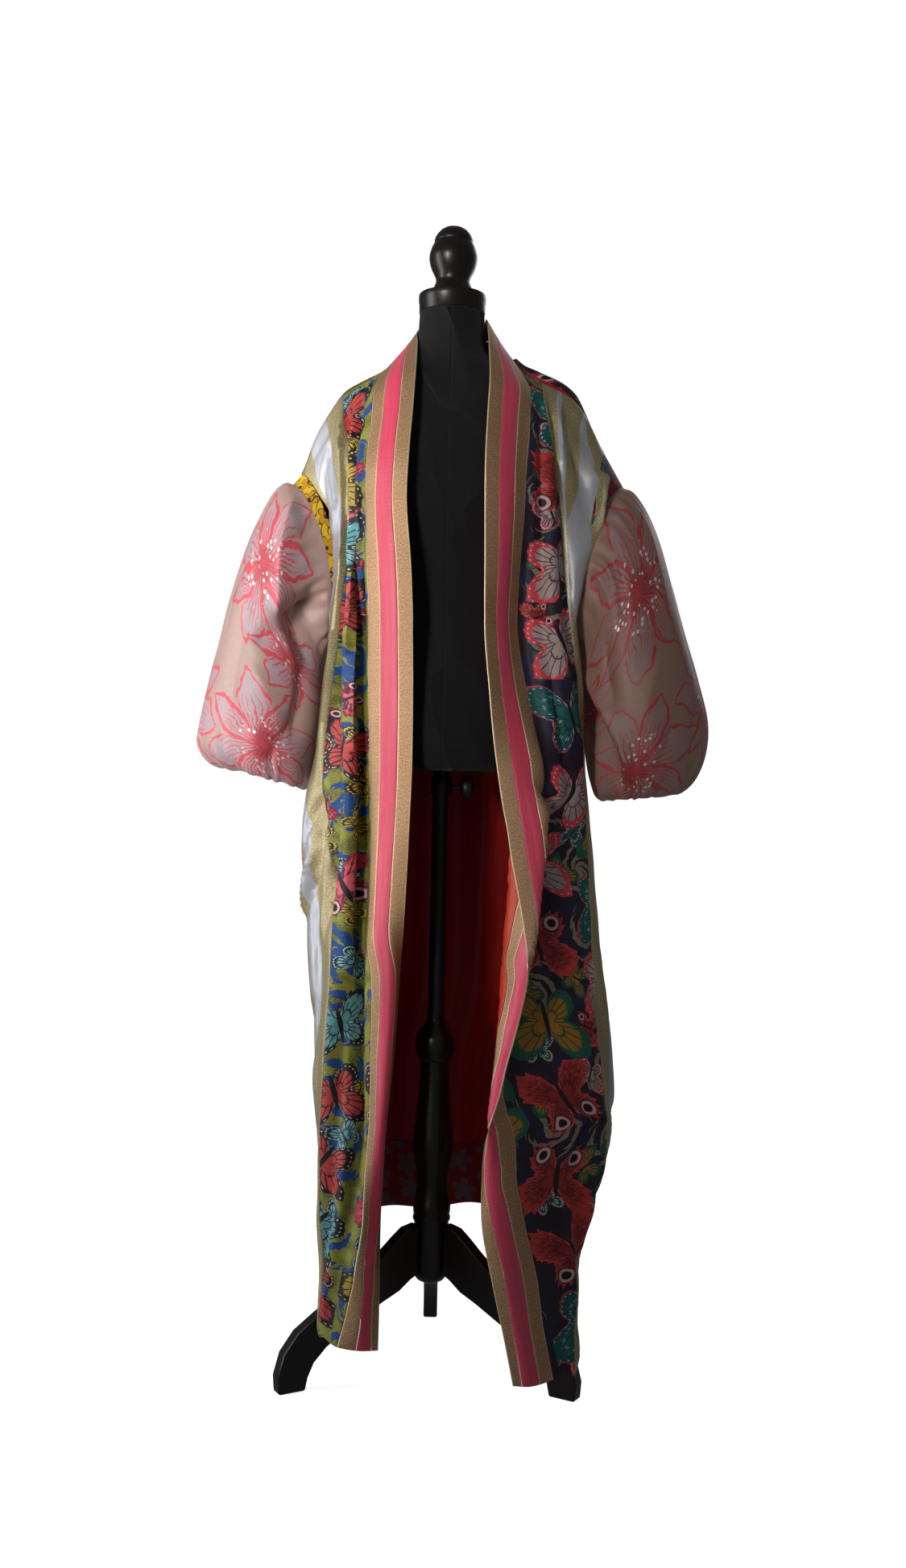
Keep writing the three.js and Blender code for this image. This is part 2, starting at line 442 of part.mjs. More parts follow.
for (const [side, table, hole, rings, sign, look] of [
  ["right", FRONT_R, HOLE_R, SLEEVE_R, -1, "yellow"],
  ["left", FRONT_L, HOLE_L, SLEEVE_L, 1, "redprint"],
]) {
  // columns at the angles where the body's rows meet the armhole
  const half = LABELS.filter((l) => l >= 1060 && ![1488, 1462, 1436].includes(l)).map((l) => armholeAngle(table, l));
  const degs = [...half, ...half.slice(1, -1).reverse().map((d) => 360 - d)];
  const last = rings.length - 1;
  const rows = [0, 0.5, 1, 1.5, ...spread(2, last, Math.round(1.35 * (last - 2)))];
  const grid = degs.map((deg) =>
    rows.map((t) => {
      const p = sleeveRow(rings, t, deg), c = sleeveRow(rings, t, deg + 180).lerp(p, 0.5);
      const low = Math.max(0, Math.min(1, (t - last + 6) / 4));
      const out = p.clone().sub(c).setZ(0).normalize();
      return p.addScaledVector(out, RIPPLE * low * Math.sin((deg * Math.PI * 9) / 180 + (side === "left" ? 1 : 0)) - RIPPLE * low * 0.5);
    }),
  );
  add("sleeve_" + side, wall(grid, sign, 0, CLOTH, true), "blush");
  const ring = degs.map((deg) => {
    const a = around(hole, deg), b = sleeveRow(rings, 0, deg);
    const under = Math.sin((deg * Math.PI) / 360) ** 2; // the seam folds back on itself under the arm
    const u = b.clone().sub(a), gap = (0.6 + 2.6 * under) / u.length();
    return [a.clone().addScaledVector(u, gap), a.clone().addScaledVector(u, 1 - 0.4 / u.length())];
  });
  add("armhole_band_" + side, wall(ring, sign, 0, CLOTH, true), look);
}

// ---- the form ----
function loft(sections, turns, ends) {
  const pos = [], idx = [];
  for (const [z, rx, ry, cx = 0] of sections)
    for (let k = 0; k < turns; k++) {
      const t = (2 * Math.PI * k) / turns;
      pos.push(cx + rx * Math.cos(t), ry * Math.sin(t), z);
    }
  const n = sections.length;
  for (let j = 0; j < n - 1; j++)
    for (let k = 0; k < turns; k++) {
      const a = j * turns + k, b = j * turns + ((k + 1) % turns);
      idx.push(a, b, b + turns, a, b + turns, a + turns);
    }
  const low = pos.length / 3;
  pos.push(sections[0][3] ?? 0, 0, ends[0], sections[n - 1][3] ?? 0, 0, ends[1]);
  for (let k = 0; k < turns; k++) {
    const b = (k + 1) % turns, top = (n - 1) * turns;
    idx.push(low, b, k, low + 1, top + k, top + b);
  }
  const g = new THREE.BufferGeometry();
  g.setAttribute("position", new THREE.Float32BufferAttribute(pos, 3));
  g.setIndex(idx);
  g.computeVertexNormals();
  return g;
}
const torsoZ = [876, 884, 905, 930, 965, 1000, 1045, 1090, 1125, 1160, 1210, 1260, 1300, 1340, 1370, 1395, 1410, 1422, 1432, 1441, 1450, 1460, 1470, 1482, 1500, 1548.7];
add("form_torso", loft(torsoZ.map((z) => [z, ...torsoHalf(z), FORM_X]), 30, [876, 1548.7]), "form");

function turned(points, segments = 20) {
  const g = new THREE.LatheGeometry(points.map(([r, z]) => new THREE.Vector2(r, z)), segments);
  g.rotateX(Math.PI / 2);
  g.translate(FORM_X, 0, 0);
  return g;
}
add("neck_cap", turned([[0, 1549], [48.5, 1549], [48.8, 1564], [49.6, 1565], [49.6, 1575], [48.5, 1576], [0, 1576]]), "wood");
add(
  "finial",
  turned([
    [0, 1576.3], [33, 1576.3], [33.5, 1580], [27, 1591], [25, 1597], [26, 1603], [31.5, 1614], [35.6, 1630],
    [34, 1641], [28.6, 1653], [28.6, 1657], [24, 1667], [14, 1675.4], [0, 1678],
  ]),
  "wood",
);
add("clamp_collar", turned([[12.9, 842], [15, 842], [15.4, 843], [15.4, 868], [15, 869], [12.9, 869], [12.9, 842]]), "steel");
add("post", turned([[0, 440.3], [12.5, 440.3], [12.5, 875.7], [0, 875.7]]), "steel");

// thumb screw: shaft and knob along +x, held 0.3 off the collar
const SCREW = [[0, 0], [3.5, 0], [3.5, 12], [8, 12.5], [15, 15], [17.5, 20], [17.5, 27], [15, 31], [0, 32]];
{
  const g = new THREE.LatheGeometry(SCREW.map(([r, l]) => new THREE.Vector2(r, l)), 16);
  g.rotateZ(-Math.PI / 2);
  g.translate(FORM_X + 15.7, 0, 852);
  add("thumb_screw", g, "steel");
}

// ---- the stand ----
add(
  "stand_column",
  turned([
    [0, 122], [11, 123], [19, 127], [25, 134], [25.5, 137], [25.5, 213], [27.6, 216], [27.6, 220], [26.5, 223], [27.6, 236], [26, 242],
    [22.6, 262], [22.4, 276], [24, 290], [28.5, 312], [29.8, 325], [28.5, 345], [24.5, 385], [21.6, 420], [21, 449], [24.5, 452],
    [28.6, 464], [29.4, 478], [27.5, 488], [19, 500], [14.2, 508], [13.8, 511], [12.9, 511], [12.9, 440], [0, 440],
  ]),
  "wood",
);
// leg profile: distance from the axis, height
const LEG_TOP = [[25.9, 212], [46, 207], [62, 194], [83, 175], [132, 136], [184, 103], [215, 82], [236, 55], [245, 24], [243, 0]];
const LEG_LOW = [[203, 0], [199, 18], [190, 37], [171, 56], [125, 84], [82, 107], [56, 119], [38, 133], [25.9, 140]];
const LEG_THICK = 22;
for (const [name, deg] of [["leg_right", 210], ["leg_left", 330], ["leg_rear", 90]]) {
  const shape = new THREE.Shape([...LEG_TOP, ...LEG_LOW].map(([r, z]) => new THREE.Vector2(r, z)));
  const g = new THREE.ExtrudeGeometry(shape, { depth: LEG_THICK, bevelEnabled: false });
  g.translate(0, 0, -LEG_THICK / 2);
  g.rotateX(Math.PI / 2);
  g.rotateZ((deg * Math.PI) / 180);
  g.translate(FORM_X, 0, 0);
  add(name, g, "wood");
}

group.position.set(...SHIFT);
export default group;
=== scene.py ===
# Kimono duster on its dress form: fine cloth, prints, foil dots, wood, light and camera over the solids.
import math

import bmesh
import bpy
import numpy as np
from mathutils import Matrix, Vector
from mathutils.bvhtree import BVHTree


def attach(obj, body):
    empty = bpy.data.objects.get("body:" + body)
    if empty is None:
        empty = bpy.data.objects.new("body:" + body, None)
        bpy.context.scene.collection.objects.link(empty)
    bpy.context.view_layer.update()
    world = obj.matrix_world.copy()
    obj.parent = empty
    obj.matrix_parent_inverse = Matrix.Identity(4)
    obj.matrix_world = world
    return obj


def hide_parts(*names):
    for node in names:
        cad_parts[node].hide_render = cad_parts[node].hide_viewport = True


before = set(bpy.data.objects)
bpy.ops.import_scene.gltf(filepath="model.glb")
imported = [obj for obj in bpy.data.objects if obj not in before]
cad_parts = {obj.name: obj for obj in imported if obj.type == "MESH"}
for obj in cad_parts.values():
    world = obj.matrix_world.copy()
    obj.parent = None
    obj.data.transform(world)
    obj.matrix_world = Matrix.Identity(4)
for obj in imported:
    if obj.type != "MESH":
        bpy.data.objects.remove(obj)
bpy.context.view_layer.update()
print("frame loaded:", len(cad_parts), "nodes")

# The cut, in millimetres with +Z up, before the shift that centres the part.
garment = {
    "shift": (-17.0, -35.0, 0.0),
    "formX": 2.5,  # the form's own axis
    "bandWidth": 70,  # gold, pink and gold strips together
    "neckTop": 1620,  # row label at the centre back of the neck
    "shoulder": 1500,  # row label at the shoulder seam
    "underarm": 1060,  # row label where the armhole closes
    "rowStep": 5.0,  # between rows of points down the cloth
    "cellWidth": 5.5,  # between columns of points across it
    "clearance": 1.0,  # least gap between the lining side and the form
    "reach": 40,  # how far off the form is looked for
    "slope": 2.5,  # half the span over which a row's direction is taken
    "leastShare": 0.31,  # of its own rectangle, for the cut of a band that is wide in one place alone
}
thickness = {"cloth": 1.2, "band": 2.0, "lining": 1.0, "seam": 0.3}
seamColumns = {"places": (0.8, 2.2), "narrow": 8}  # columns beside a seam, closer on pieces under that width

# Row label, then how far each strip of the band reaches from the edge: less where it is turned or tucked in.
bandSeams = {
    "right": [
        (1620, 22, 48, 70), (800, 22, 48, 70), (600, 22, 45, 61), (343, 22, 46, 58), (252, 26, 47, 57), (192, 24, 41, 52),
        (127, 15, 32, 49), (50, 13, 29, 54), (0, 10, 31, 58),
    ],
    "left": [
        (1620, 22, 48, 70), (680, 22, 48, 70), (600, 16, 48, 64), (548, 8, 47, 57), (485, 3, 31, 46), (438, 1.6, 27, 46),
        (408, 1.2, 22, 46), (384, 3, 13, 41), (357, 12, 30, 60), (327, 20, 46, 71), (270, 23, 49, 72), (210, 22, 47, 70),
        (150, 19, 45, 67), (90, 16, 40, 61), (0, 13, 38, 59),
    ],
}
# Outermost (top), front, lowest (underarm) and back point of each armhole.
armholes = {
    "right": ((-214, 4, 1308), (-156, -34, 1195), (-155, 16, 1072), (-190, 58, 1190)),
    "left": ((232, 4, 1348), (206, -62, 1222), (190, -5, 1058), (218, 60, 1200)),
}
# Row label, z at the front edge, z at the side, then the turning points from the front edge to the side
# seam: edge, band, band, panel, panel, print seam, side, side seam. A lone number is the armhole's angle.
frontRows = {
    "right": [
        (1620, 1545, 0, (-0.15, 60, 1545), (-0.15, 68, 1512), (-0.15, 80, 1477), (-0.15, 86, 1455), (-0.15, 90, 1430), (-0.15, 92, 1420), (-0.15, 94, 1400), (-0.15, 96, 1380)),
        (1560, 1538, 0, (-40, 44, 1538), (-56, 50, 1509), (-76, 57, 1479), (-90, 62, 1455), (-100, 64, 1440), (-110, 66, 1420), (-120, 66, 1400), (-130, 66, 1380)),
        (1500, 1523, 0, (-47, 2, 1523), (-72, 3, 1491), (-96, 2, 1464), (-112, -4, 1453), (-134, -6, 1441), (-153, -6, 1428), (-186, -3, 1376), 0),
        (1450, 1461, 0, (-47, -62, 1461), (-77, -58, 1446), (-102, -52, 1430), (-116, -48, 1421), (-133, -44, 1411), (-153, -38, 1396), (-182, -24, 1346), 19),
        (1395, 1395, 0, (-49, -96, 1395), (-77, -88, 1386), (-103, -76, 1376), (-115, -70, 1369), (-131, -64, 1364), (-150, -53, 1356), (-176, -38, 1316), 37),
        (1312, 1312, 1262, (-53, -121), (-80, -113), (-107, -97), (-117, -89), (-131, -86), (-144, -64), (-168, -50), 60),
        (1250, 1250, 1225, (-54, -128), (-82, -119), (-110, -101), (-116, -92), (-129, -93), (-140, -68), (-163, -56), 82),
        (1165, 1165, 1150, (-46, -131), (-77, -124), (-109, -106), (-115, -90), (-126, -96), (-141, -69), (-163, -54), 115),
        (1100, 1100, 1098, (-42, -131), (-74, -124), (-106, -106), (-113, -88), (-128, -97), (-146, -69), (-166, -50), 150),
        (1060, 1060, 1072, (-41, -131), (-72, -123), (-104, -106), (-112, -88), (-128, -98), (-149, -69), (-167, -50), 180),
        (985, 985, 990, (-39, -131), (-70, -122), (-101, -106), (-110, -86), (-126, -98), (-157, -67), (-174, -47), (-146, 22)),
        (883, 883, 883, (-38, -131), (-66, -122), (-94, -106), (-110, -78), (-131, -95), (-167, -61), (-181, -42), (-148, 26)),
        (829, 829, 829, (-39, -131), (-65, -122), (-90, -106), (-108, -74), (-135, -96), (-168, -63), (-188, -34), (-166, 32)),
        (753, 753, 753, (-41, -130), (-66, -125), (-91, -107), (-105, -77), (-130, -99), (-155, -81), (-197, -32), (-180, 40)),
        (667, 667, 667, (-44, -126), (-67, -127), (-94, -108), (-103, -82), (-124, -101), (-144, -91), (-189, -33), (-178, 42)),
        (592, 592, 592, (-48, -107), (-57, -129), (-96, -113), (-103, -89), (-122, -105), (-144, -95), (-184, -41), (-171, 42)),
        (473, 473, 475, (-54, -103), (-61, -129), (-92, -110), (-100, -93), (-124, -106), (-148, -95), (-173, -52), (-158, 40)),
        (361, 365, 375, (-63, -93), (-67, -126), (-90, -114), (-98, -100), (-125, -108), (-153, -88), (-160, -62), (-149, 36)),
        (240, 250, 285, (-68, -88), (-71, -118), (-93, -130), (-106, -120), (-127, -116), (-151, -92), (-153, -72), (-144, 34)),
        (154, 175, 220, (-67, -108), (-80, -132), (-104, -134), (-115, -125), (-131, -118), (-151, -98), (-152, -80), (-141, 34)),
        (75, 115, 170, (-66, -126), (-89, -141), (-115, -134), (-125, -128), (-138, -120), (-152, -110), (-154, -96), (-140, 34)),
        (0, 69, 130, (-66, -138), (-92, -142), (-124, -137), (-133, -132), (-143, -126), (-152, -116, 80), (-155, -102, 118), (-140, 34)),
    ],
    "left": [
        (1620, 1545, 0, (0.15, 60, 1545), (0.15, 68, 1512), (0.15, 80, 1477), (0.15, 86, 1455), (0.15, 90, 1430), (0.15, 92, 1420), (0.15, 94, 1400), (0.15, 96, 1380)),
        (1560, 1543, 0, (46, 44, 1543), (62, 50, 1514), (82, 57, 1485), (96, 62, 1460), (106, 64, 1445), (116, 66, 1430), (128, 66, 1410), (140, 66, 1390)),
        (1500, 1541, 0, (54.8, 2, 1541), (78, 3, 1507), (104, 2, 1474), (113, -8, 1462), (122, -11, 1456), (134, -12, 1449), (183, -8, 1422), 0),
        (1450, 1450, 0, (59, -74, 1450), (88, -66, 1439), (115, -54, 1428), (121, -50, 1425), (128, -48, 1421), (139, -44, 1416), (186, -28, 1380), 19),
        (1395, 1392, 0, (57, -102, 1392), (87, -92, 1384), (116, -74, 1375), (124, -70, 1372), (135, -66, 1369), (149, -56, 1366), (194, -40, 1332), 37),
        (1312, 1312, 1275, (54.5, -130), (86, -117), (115, -93), (124, -88), (139, -84), (159, -64), (198, -52), 60),
        (1250, 1250, 1235, (55, -137), (85, -124), (112, -99), (122, -91), (143, -86), (166, -69), (196, -62), 82),
        (1165, 1165, 1155, (57, -138), (84, -122), (107, -93), (118, -83), (149, -90), (174, -73), (189, -71), 115),
        (1100, 1100, 1090, (58.5, -138), (83, -116), (104, -89), (116, -81), (151, -92), (183, -73), (190, -66), 150),
        (1060, 1060, 1058, (60, -138), (86, -116), (107, -89), (120, -83), (155, -93), (189, -71), (195, -58), 180),
        (985, 985, 985, (68, -134), (93, -116), (119, -95), (130, -89), (160, -95), (202, -61), (205, -46), (191, 18)),
        (935, 935, 935, (73, -134), (103, -122), (131, -107), (139, -99), (163, -97), (206, -60), (208, -44), (193, 20)),
        (883, 883, 883, (80, -132), (112, -127), (144, -117), (149, -107), (167, -99), (209, -58), (211, -40), (197, 26)),
        (829, 829, 829, (89, -135), (152, -127), (140, -109), (149, -101), (171, -95), (214, -51), (220, -6), (212, 38)),
        (796, 796, 796, (96, -138), (153, -133), (119, -107), (141, -97), (173, -91), (215, -50), (223, 0), (215.8, 41)),
        (753, 753, 753, (103, -141), (151, -138), (102, -108), (139, -94), (176, -85), (218, -50), (228, 0), (220, 44)),
        (710, 710, 710, (112, -146), (147, -144), (101.5, -108), (138, -94), (176, -85), (221, -50), (232, 0), (224, 44)),
        (667, 667, 667, (120, -154), (143, -153), (99, -108), (136, -95), (176, -87), (226, -50), (237, 0), (228, 44)),
        (626, 626, 626, (126, -165), (137, -163), (97.5, -108), (136, -96), (177, -88), (229, -50), (241, 0), (232, 44)),
        (592, 592, 592, (128, -178), (128, -156), (95.5, -107), (136, -96), (178, -88), (232, -50), (246, 0), (236, 44)),
        (548, 548, 548, (121, -172), (120, -149), (93.5, -111), (136, -100), (181, -90), (234, -55), (250, -8), (238, 44)),
        (512, 512, 512, (113, -170), (109, -148), (90.5, -124), (135, -104), (183, -92), (237, -58), (253, -12), (240, 44)),
        (473, 473, 473, (103, -167), (98, -148), (87.5, -131), (134, -108), (186, -95), (241, -61), (256, -20), (240, 44)),
        (433, 433, 433, (95, -163), (90, -149), (83.5, -139), (134, -112), (190, -97), (244, -66), (259, -30), (238, 42)),
        (395, 395, 397, (84.5, -155), (81.5, -151), (80, -147), (134, -115), (195, -98), (249, -70), (261, -40), (236, 42)),
        (361, 361, 368, (75, -139), (77, -149), (87, -150), (135, -122), (200, -98), (253, -72), (260, -52), (232, 42)),
        (315, 315, 332, (72, -124), (78, -149), (102, -151), (134, -134), (200, -104), (250, -76), (250, -58), (224, 42)),
        (240, 245, 280, (73, -138), (87, -152), (118, -151), (150, -129), (196, -112), (236, -84), (236, -66), (210, 40)),
        (154, 165, 218, (90, -147), (112, -153), (139, -146), (163, -133), (187, -118), (213, -94), (213, -78), (192, 38)),
        (75, 93, 160, (107, -150), (131, -154), (156, -146), (175, -137), (190, -132), (210, -126), (212, -100, 124), (186, 36)),
        (0, 29, 125, (121, -151), (145, -152), (170, -145), (182, -141), (192, -140), (207, -140, 40), (211, -114, 104), (182, 34)),
    ],
}
# Row label, z at the centre back, then the points between the side seams.
backRows = [
    (1500, 1477, (-96, 50, 1478), (-60, 66, 1478), (0.5, 80, 1477), (64, 66, 1481), (104, 50, 1484)),
    (1450, 1440, (-150, 60, 1402), (-76, 86, 1436), (0, 97, 1440), (80, 86, 1440), (166, 62, 1418)),
    (1395, 1388, (-152, 78, 1366), (-78, 100, 1386), (0, 108, 1388), (82, 100, 1388), (168, 80, 1376)),
    (1312, 1308, (-150, 88, 1300), (-78, 110, 1308), (0, 116, 1308), (80, 110, 1308), (170, 90, 1302)),
    (1165, 1165, (-140, 94), (-72, 116), (0, 120), (76, 116), (166, 96)),
    (1060, 1060, (-136, 96), (-72, 118), (0, 122), (78, 118), (168, 98)),
    (883, 883, (-142, 100), (-72, 120), (0, 128), (80, 122), (176, 102)),
    (592, 600, (-150, 104), (-74, 132), (0, 126), (82, 138), (196, 108)),
    (361, 440, (-138, 106), (-70, 140), (0, 124), (76, 142), (196, 112)),
    (154, 300, (-130, 104), (-68, 142), (0, 122), (72, 144), (184, 110)),
    (0, 198, (-128, 102, 186), (-68, 140, 196), (0, 122, 199), (70, 142, 203), (176, 106, 180)),
]
# Outer, front, inner and back point of each ring, from the armhole to the edge turned up inside the cuff.
sleeveRings = {
    "right": [
        ((-227, 4, 1293), (-171, -41, 1186), (-172, 17, 1063), (-200, 60, 1180)),
        ((-243, 4, 1291), (-194, -54, 1176), (-173, 18, 1050), (-214, 68, 1166)),
        ((-262, 4, 1268), (-213, -66, 1155), (-173, 18, 1036), (-230, 76, 1145)),
        ((-291, 4, 1208), (-236, -76, 1110), (-173, 18, 1008), (-245, 80, 1105)),
        ((-316, 4, 1125), (-250, -80, 1055), (-173, 18, 978), (-255, 84, 1055)),
        ((-330, 4, 1062), (-257, -82, 1010), (-175, 16, 950), (-262, 86, 1005)),
        ((-344, 4, 1000), (-263, -82, 960), (-179, 12, 920), (-268, 86, 960)),
        ((-357, 4, 935), (-268, -81, 910), (-186, 8, 886), (-272, 85, 912)),
        ((-359, 4, 906), (-268, -76, 884), (-190, 6, 860), (-272, 79, 886)),
        ((-345, 4, 884), (-264, -63, 866), (-197, 4, 846), (-268, 66, 868)),
        ((-322, 4, 874), (-261, -48, 862), (-208, 4, 848), (-265, 50, 864)),
        ((-309, 4, 884), (-261, -40, 876), (-216, 4, 864), (-264, 42, 877)),
        ((-306, 4, 904), (-261, -38, 898), (-218, 4, 888), (-264, 40, 899)),
    ],
    "left": [
        ((262, 4, 1297), (212, -62, 1212), (195, -4, 1048), (226, 62, 1190)),
        ((280, 4, 1284), (235, -73, 1199), (202, -3, 1034), (242, 70, 1180)),
        ((306, 4, 1244), (255, -83, 1160), (204, -2, 1014), (262, 78, 1150)),
        ((333, 4, 1172), (272, -89, 1105), (205, 0, 990), (275, 83, 1100)),
        ((356, 4, 1092), (284, -91, 1040), (207, 2, 960), (287, 86, 1040)),
        ((378, 4, 1022), (292, -91, 985), (210, 4, 930), (296, 86, 985)),
        ((393, 4, 958), (298, -89, 930), (213, 4, 900), (302, 84, 930)),
        ((391, 4, 912), (298, -84, 888), (219, 4, 868), (303, 79, 890)),
        ((375, 4, 872), (294, -70, 856), (228, 4, 846), (299, 66, 860)),
        ((350, 4, 850), (290, -50, 842), (243, 4, 838), (296, 50, 846)),
        ((338, 4, 860), (289, -41, 855), (250, 4, 851), (294, 42, 858)),
        ((335, 4, 882), (289, -39, 878), (252, 4, 874), (294, 40, 880)),
    ],
}


def between(keys, values, at):  # cubic through the rows of a table
    keys, values, at = (np.asarray(a, float) for a in (keys, values, at))
    if keys[0] > keys[-1]:
        keys, values = keys[::-1], values[::-1]
    shape = (-1,) + (1,) * (values.ndim - 1)
    slopes = np.empty_like(values)
    slopes[1:-1] = (values[2:] - values[:-2]) / (keys[2:] - keys[:-2]).reshape(shape)
    slopes[0] = (values[1] - values[0]) / (keys[1] - keys[0])
    slopes[-1] = (values[-1] - values[-2]) / (keys[-1] - keys[-2])
    i = np.clip(np.searchsorted(keys, at, side="right") - 1, 0, len(keys) - 2)
    step = (keys[i + 1] - keys[i]).reshape(shape)
    t = np.clip((at - keys[i]).reshape(shape) / step, 0, 1)
    low, high, lowSlope, highSlope = values[i], values[i + 1], slopes[i] * step, slopes[i + 1] * step
    t2, t3 = t * t, t * t * t
    ends = (2 * t3 - 3 * t2 + 1) * low + (3 * t2 - 2 * t3) * high
    return ends + (t3 - 2 * t2 + t) * lowSlope + (t3 - t2) * highSlope


def around(ring, degrees):  # a ring through its outer, front, inner and back point
    outer, front, inner, back = (np.asarray(p, float) for p in ring)
    t = np.radians(np.asarray(degrees, float))[..., None]
    middle = (outer + front + inner + back) / 4
    oval = np.cos(t) * (outer - inner) / 2 + np.sin(t) * (front - back) / 2
    return middle + oval + np.cos(2 * t) * (outer + inner - front - back) / 4


def armholeAngle(side, labels):
    onHole = [(row[0], row[-1]) for row in frontRows[side] if isinstance(row[-1], (int, float))]
    return between([k for k, _ in onHole], [a for _, a in onHole], labels)


def turningPoints(side, labels):
    shares = (0, 0, 0.05, 0.1, 0.2, 0.4, 0.7, 1)  # of the way from the edge's height to the side's
    points = []
    for _, edgeZ, sideZ, *turns in frontRows[side]:
        row = []
        for turn, share in zip(turns, shares):
            if isinstance(turn, (int, float)):
                row.append(around(armholes[side], turn))
            else:
                height = turn[2] if len(turn) > 2 else edgeZ + (sideZ - edgeZ) * share
                row.append((turn[0], turn[1], height))
        points.append(row)
    made = between([row[0] for row in frontRows[side]], points, labels)
    onHole = (labels <= garment["shoulder"]) & (labels >= garment["underarm"])
    made[onHole, 7] = around(armholes[side], armholeAngle(side, labels[onHole]))
    return made


def lengthsAcross(points):  # from the first point of each row
    steps = np.linalg.norm(np.diff(points, axis=1), axis=-1)
    return np.concatenate([np.zeros((len(points), 1)), np.cumsum(steps, axis=1)], axis=1)


class Rows:  # one smooth curve across the cloth for each row label, measured by its own length
    steps = 14  # points between two turns
    printTurn = 5  # the turning point at the print's seam

    def __init__(self, points):
        first, last = 2 * points[:, :1] - points[:, 1:2], 2 * points[:, -1:] - points[:, -2:-1]
        p = np.concatenate([first, points, last], axis=1)
        p0, p1, p2, p3 = p[:, :-3], p[:, 1:-2], p[:, 2:-1], p[:, 3:]
        pairs = ((p0, p1), (p1, p2), (p2, p3))
        d0, d1, d2 = (np.sqrt(np.linalg.norm(b - a, axis=-1, keepdims=True)) for a, b in pairs)
        inSlope = ((p1 - p0) / d0 - (p2 - p0) / (d0 + d1) + (p2 - p1) / d1) * d1
        outSlope = ((p2 - p1) / d1 - (p3 - p1) / (d1 + d2) + (p3 - p2) / d2) * d1
        t = np.linspace(0, 1, self.steps, endpoint=False)[None, None, :, None]
        a, b, c, d = (x[:, :, None] for x in (p1, p2, inSlope, outSlope))
        curve = a + t * c + t**2 * (3 * (b - a) - 2 * c - d) + t**3 * (2 * (a - b) + c + d)
        self.points = np.concatenate([curve.reshape(len(p), -1, 3), points[:, -1:]], axis=1)
        self.length = lengthsAcross(self.points)
        self.total = self.length[:, -1]
        self.printSeam = self.length[:, self.printTurn * self.steps]

    def at(self, s):
        s = np.clip(s, 0, self.total[:, None])
        rows = []
        for place, length, points in zip(s, self.length, self.points):
            rows.append(np.stack([np.interp(place, length, points[:, k]) for k in range(3)], axis=-1))
        return np.stack(rows)


def unit(v):
    return v / np.maximum(np.linalg.norm(v, axis=-1, keepdims=True), 1e-9)


def labelsFrom(top, low):
    return np.linspace(top, low, int(round((top - low) / garment["rowStep"])) + 1)


def seamsOf(side, labels):  # reach of the band's strips in each row, from the edge (0) to the print panel
    table = np.array(bandSeams[side], float)[::-1]
    reach = [np.interp(labels, table[:, 0], table[:, k]) for k in (1, 2, 3)]
    return np.stack([np.zeros(len(labels)), *reach], axis=1)


# Lengths across a piece, closer together along its two seams; start and end are one value a row.
def columnsBetween(start, end):
    start, end = np.asarray(start, float)[:, None], np.asarray(end, float)[:, None]
    count = max(2, int(round((end - start).mean() / garment["cellWidth"])))
    share = np.linspace(0, 1, count + 1)[None]
    first, second = seamColumns["places"]
    scale = np.minimum(1, (end - start) / seamColumns["narrow"])
    middle = start + second * scale + (end - start - 2 * second * scale) * share
    nearStart, nearEnd = start + scale * np.array([[0, first]]), end - scale * np.array([[first, 0]])
    return np.concatenate([nearStart, middle, nearEnd], axis=1)


def clearOf(tree, grid, gap):  # moves the points that come nearer to the form than gap straight out of it
    flat = grid.reshape(-1, 3)
    for k, p in enumerate(flat):
        near, normal, _, _ = tree.find_nearest(p, garment["reach"])
        if near is None:
            continue
        signed = (p - np.array(near)) @ np.array(normal)
        if signed < gap:
            flat[k] = p + np.array(normal) * (gap - signed)
    return flat.reshape(grid.shape)


def softSteps(x, low, high):
    t = np.clip((x - low) / (high - low), 0, 1)
    return t * t * (3 - 2 * t)


foldEnds = {"top": (-0.02, 0.18), "low": (0.82, 1.02)}  # shares of a fold over which it begins and dies out


# Sum of soft ridges and troughs; each runs from its top label to its low label between two places across.
def foldHeights(folds, s, labels):
    made = np.zeros_like(s)
    for topLabel, lowLabel, topPlace, lowPlace, width, height, *bend in folds:
        t = (topLabel - labels[:, None]) / (topLabel - lowLabel)
        bow = (bend[0] if bend else 0) * np.sin(np.pi * np.clip(t, 0, 1))
        place = topPlace + (lowPlace - topPlace) * t + bow
        ends = softSteps(t, *foldEnds["top"]) * (1 - softSteps(t, *foldEnds["low"]))
        made += height * ends * np.exp(-(((s - place) / width) ** 2))
    return made


waves = {  # radians a millimetre, and where each starts
    "count": 7,
    "across": (0.008, 0.035),
    "along": (0.004, 0.022),
    "phase": (0, 6.28),
}


def unevenness(s, labels, seed, size):  # slow waves of no pattern, up to about size either way
    rng = np.random.default_rng(seed)
    made = np.zeros_like(s)
    for _ in range(waves["count"]):
        across, along, phase = (rng.uniform(*waves[key]) for key in ("across", "along", "phase"))
        made += np.sin(s * across * rng.choice((-1, 1)) + labels[:, None] * along + phase)
    return made * size / 3


def finishedPiece(name, mesh, sharpFrom=None):  # faces turned outwards and shaded smoothly
    work = bmesh.new()
    work.from_mesh(mesh)
    bmesh.ops.recalc_face_normals(work, faces=work.faces)
    work.to_mesh(mesh)
    work.free()
    mesh.shade_smooth()
    if sharpFrom:
        mesh.set_sharp_from_angle(angle=math.radians(sharpFrom))
    piece = bpy.data.objects.new(name, mesh)
    bpy.context.collection.objects.link(piece)
    return piece


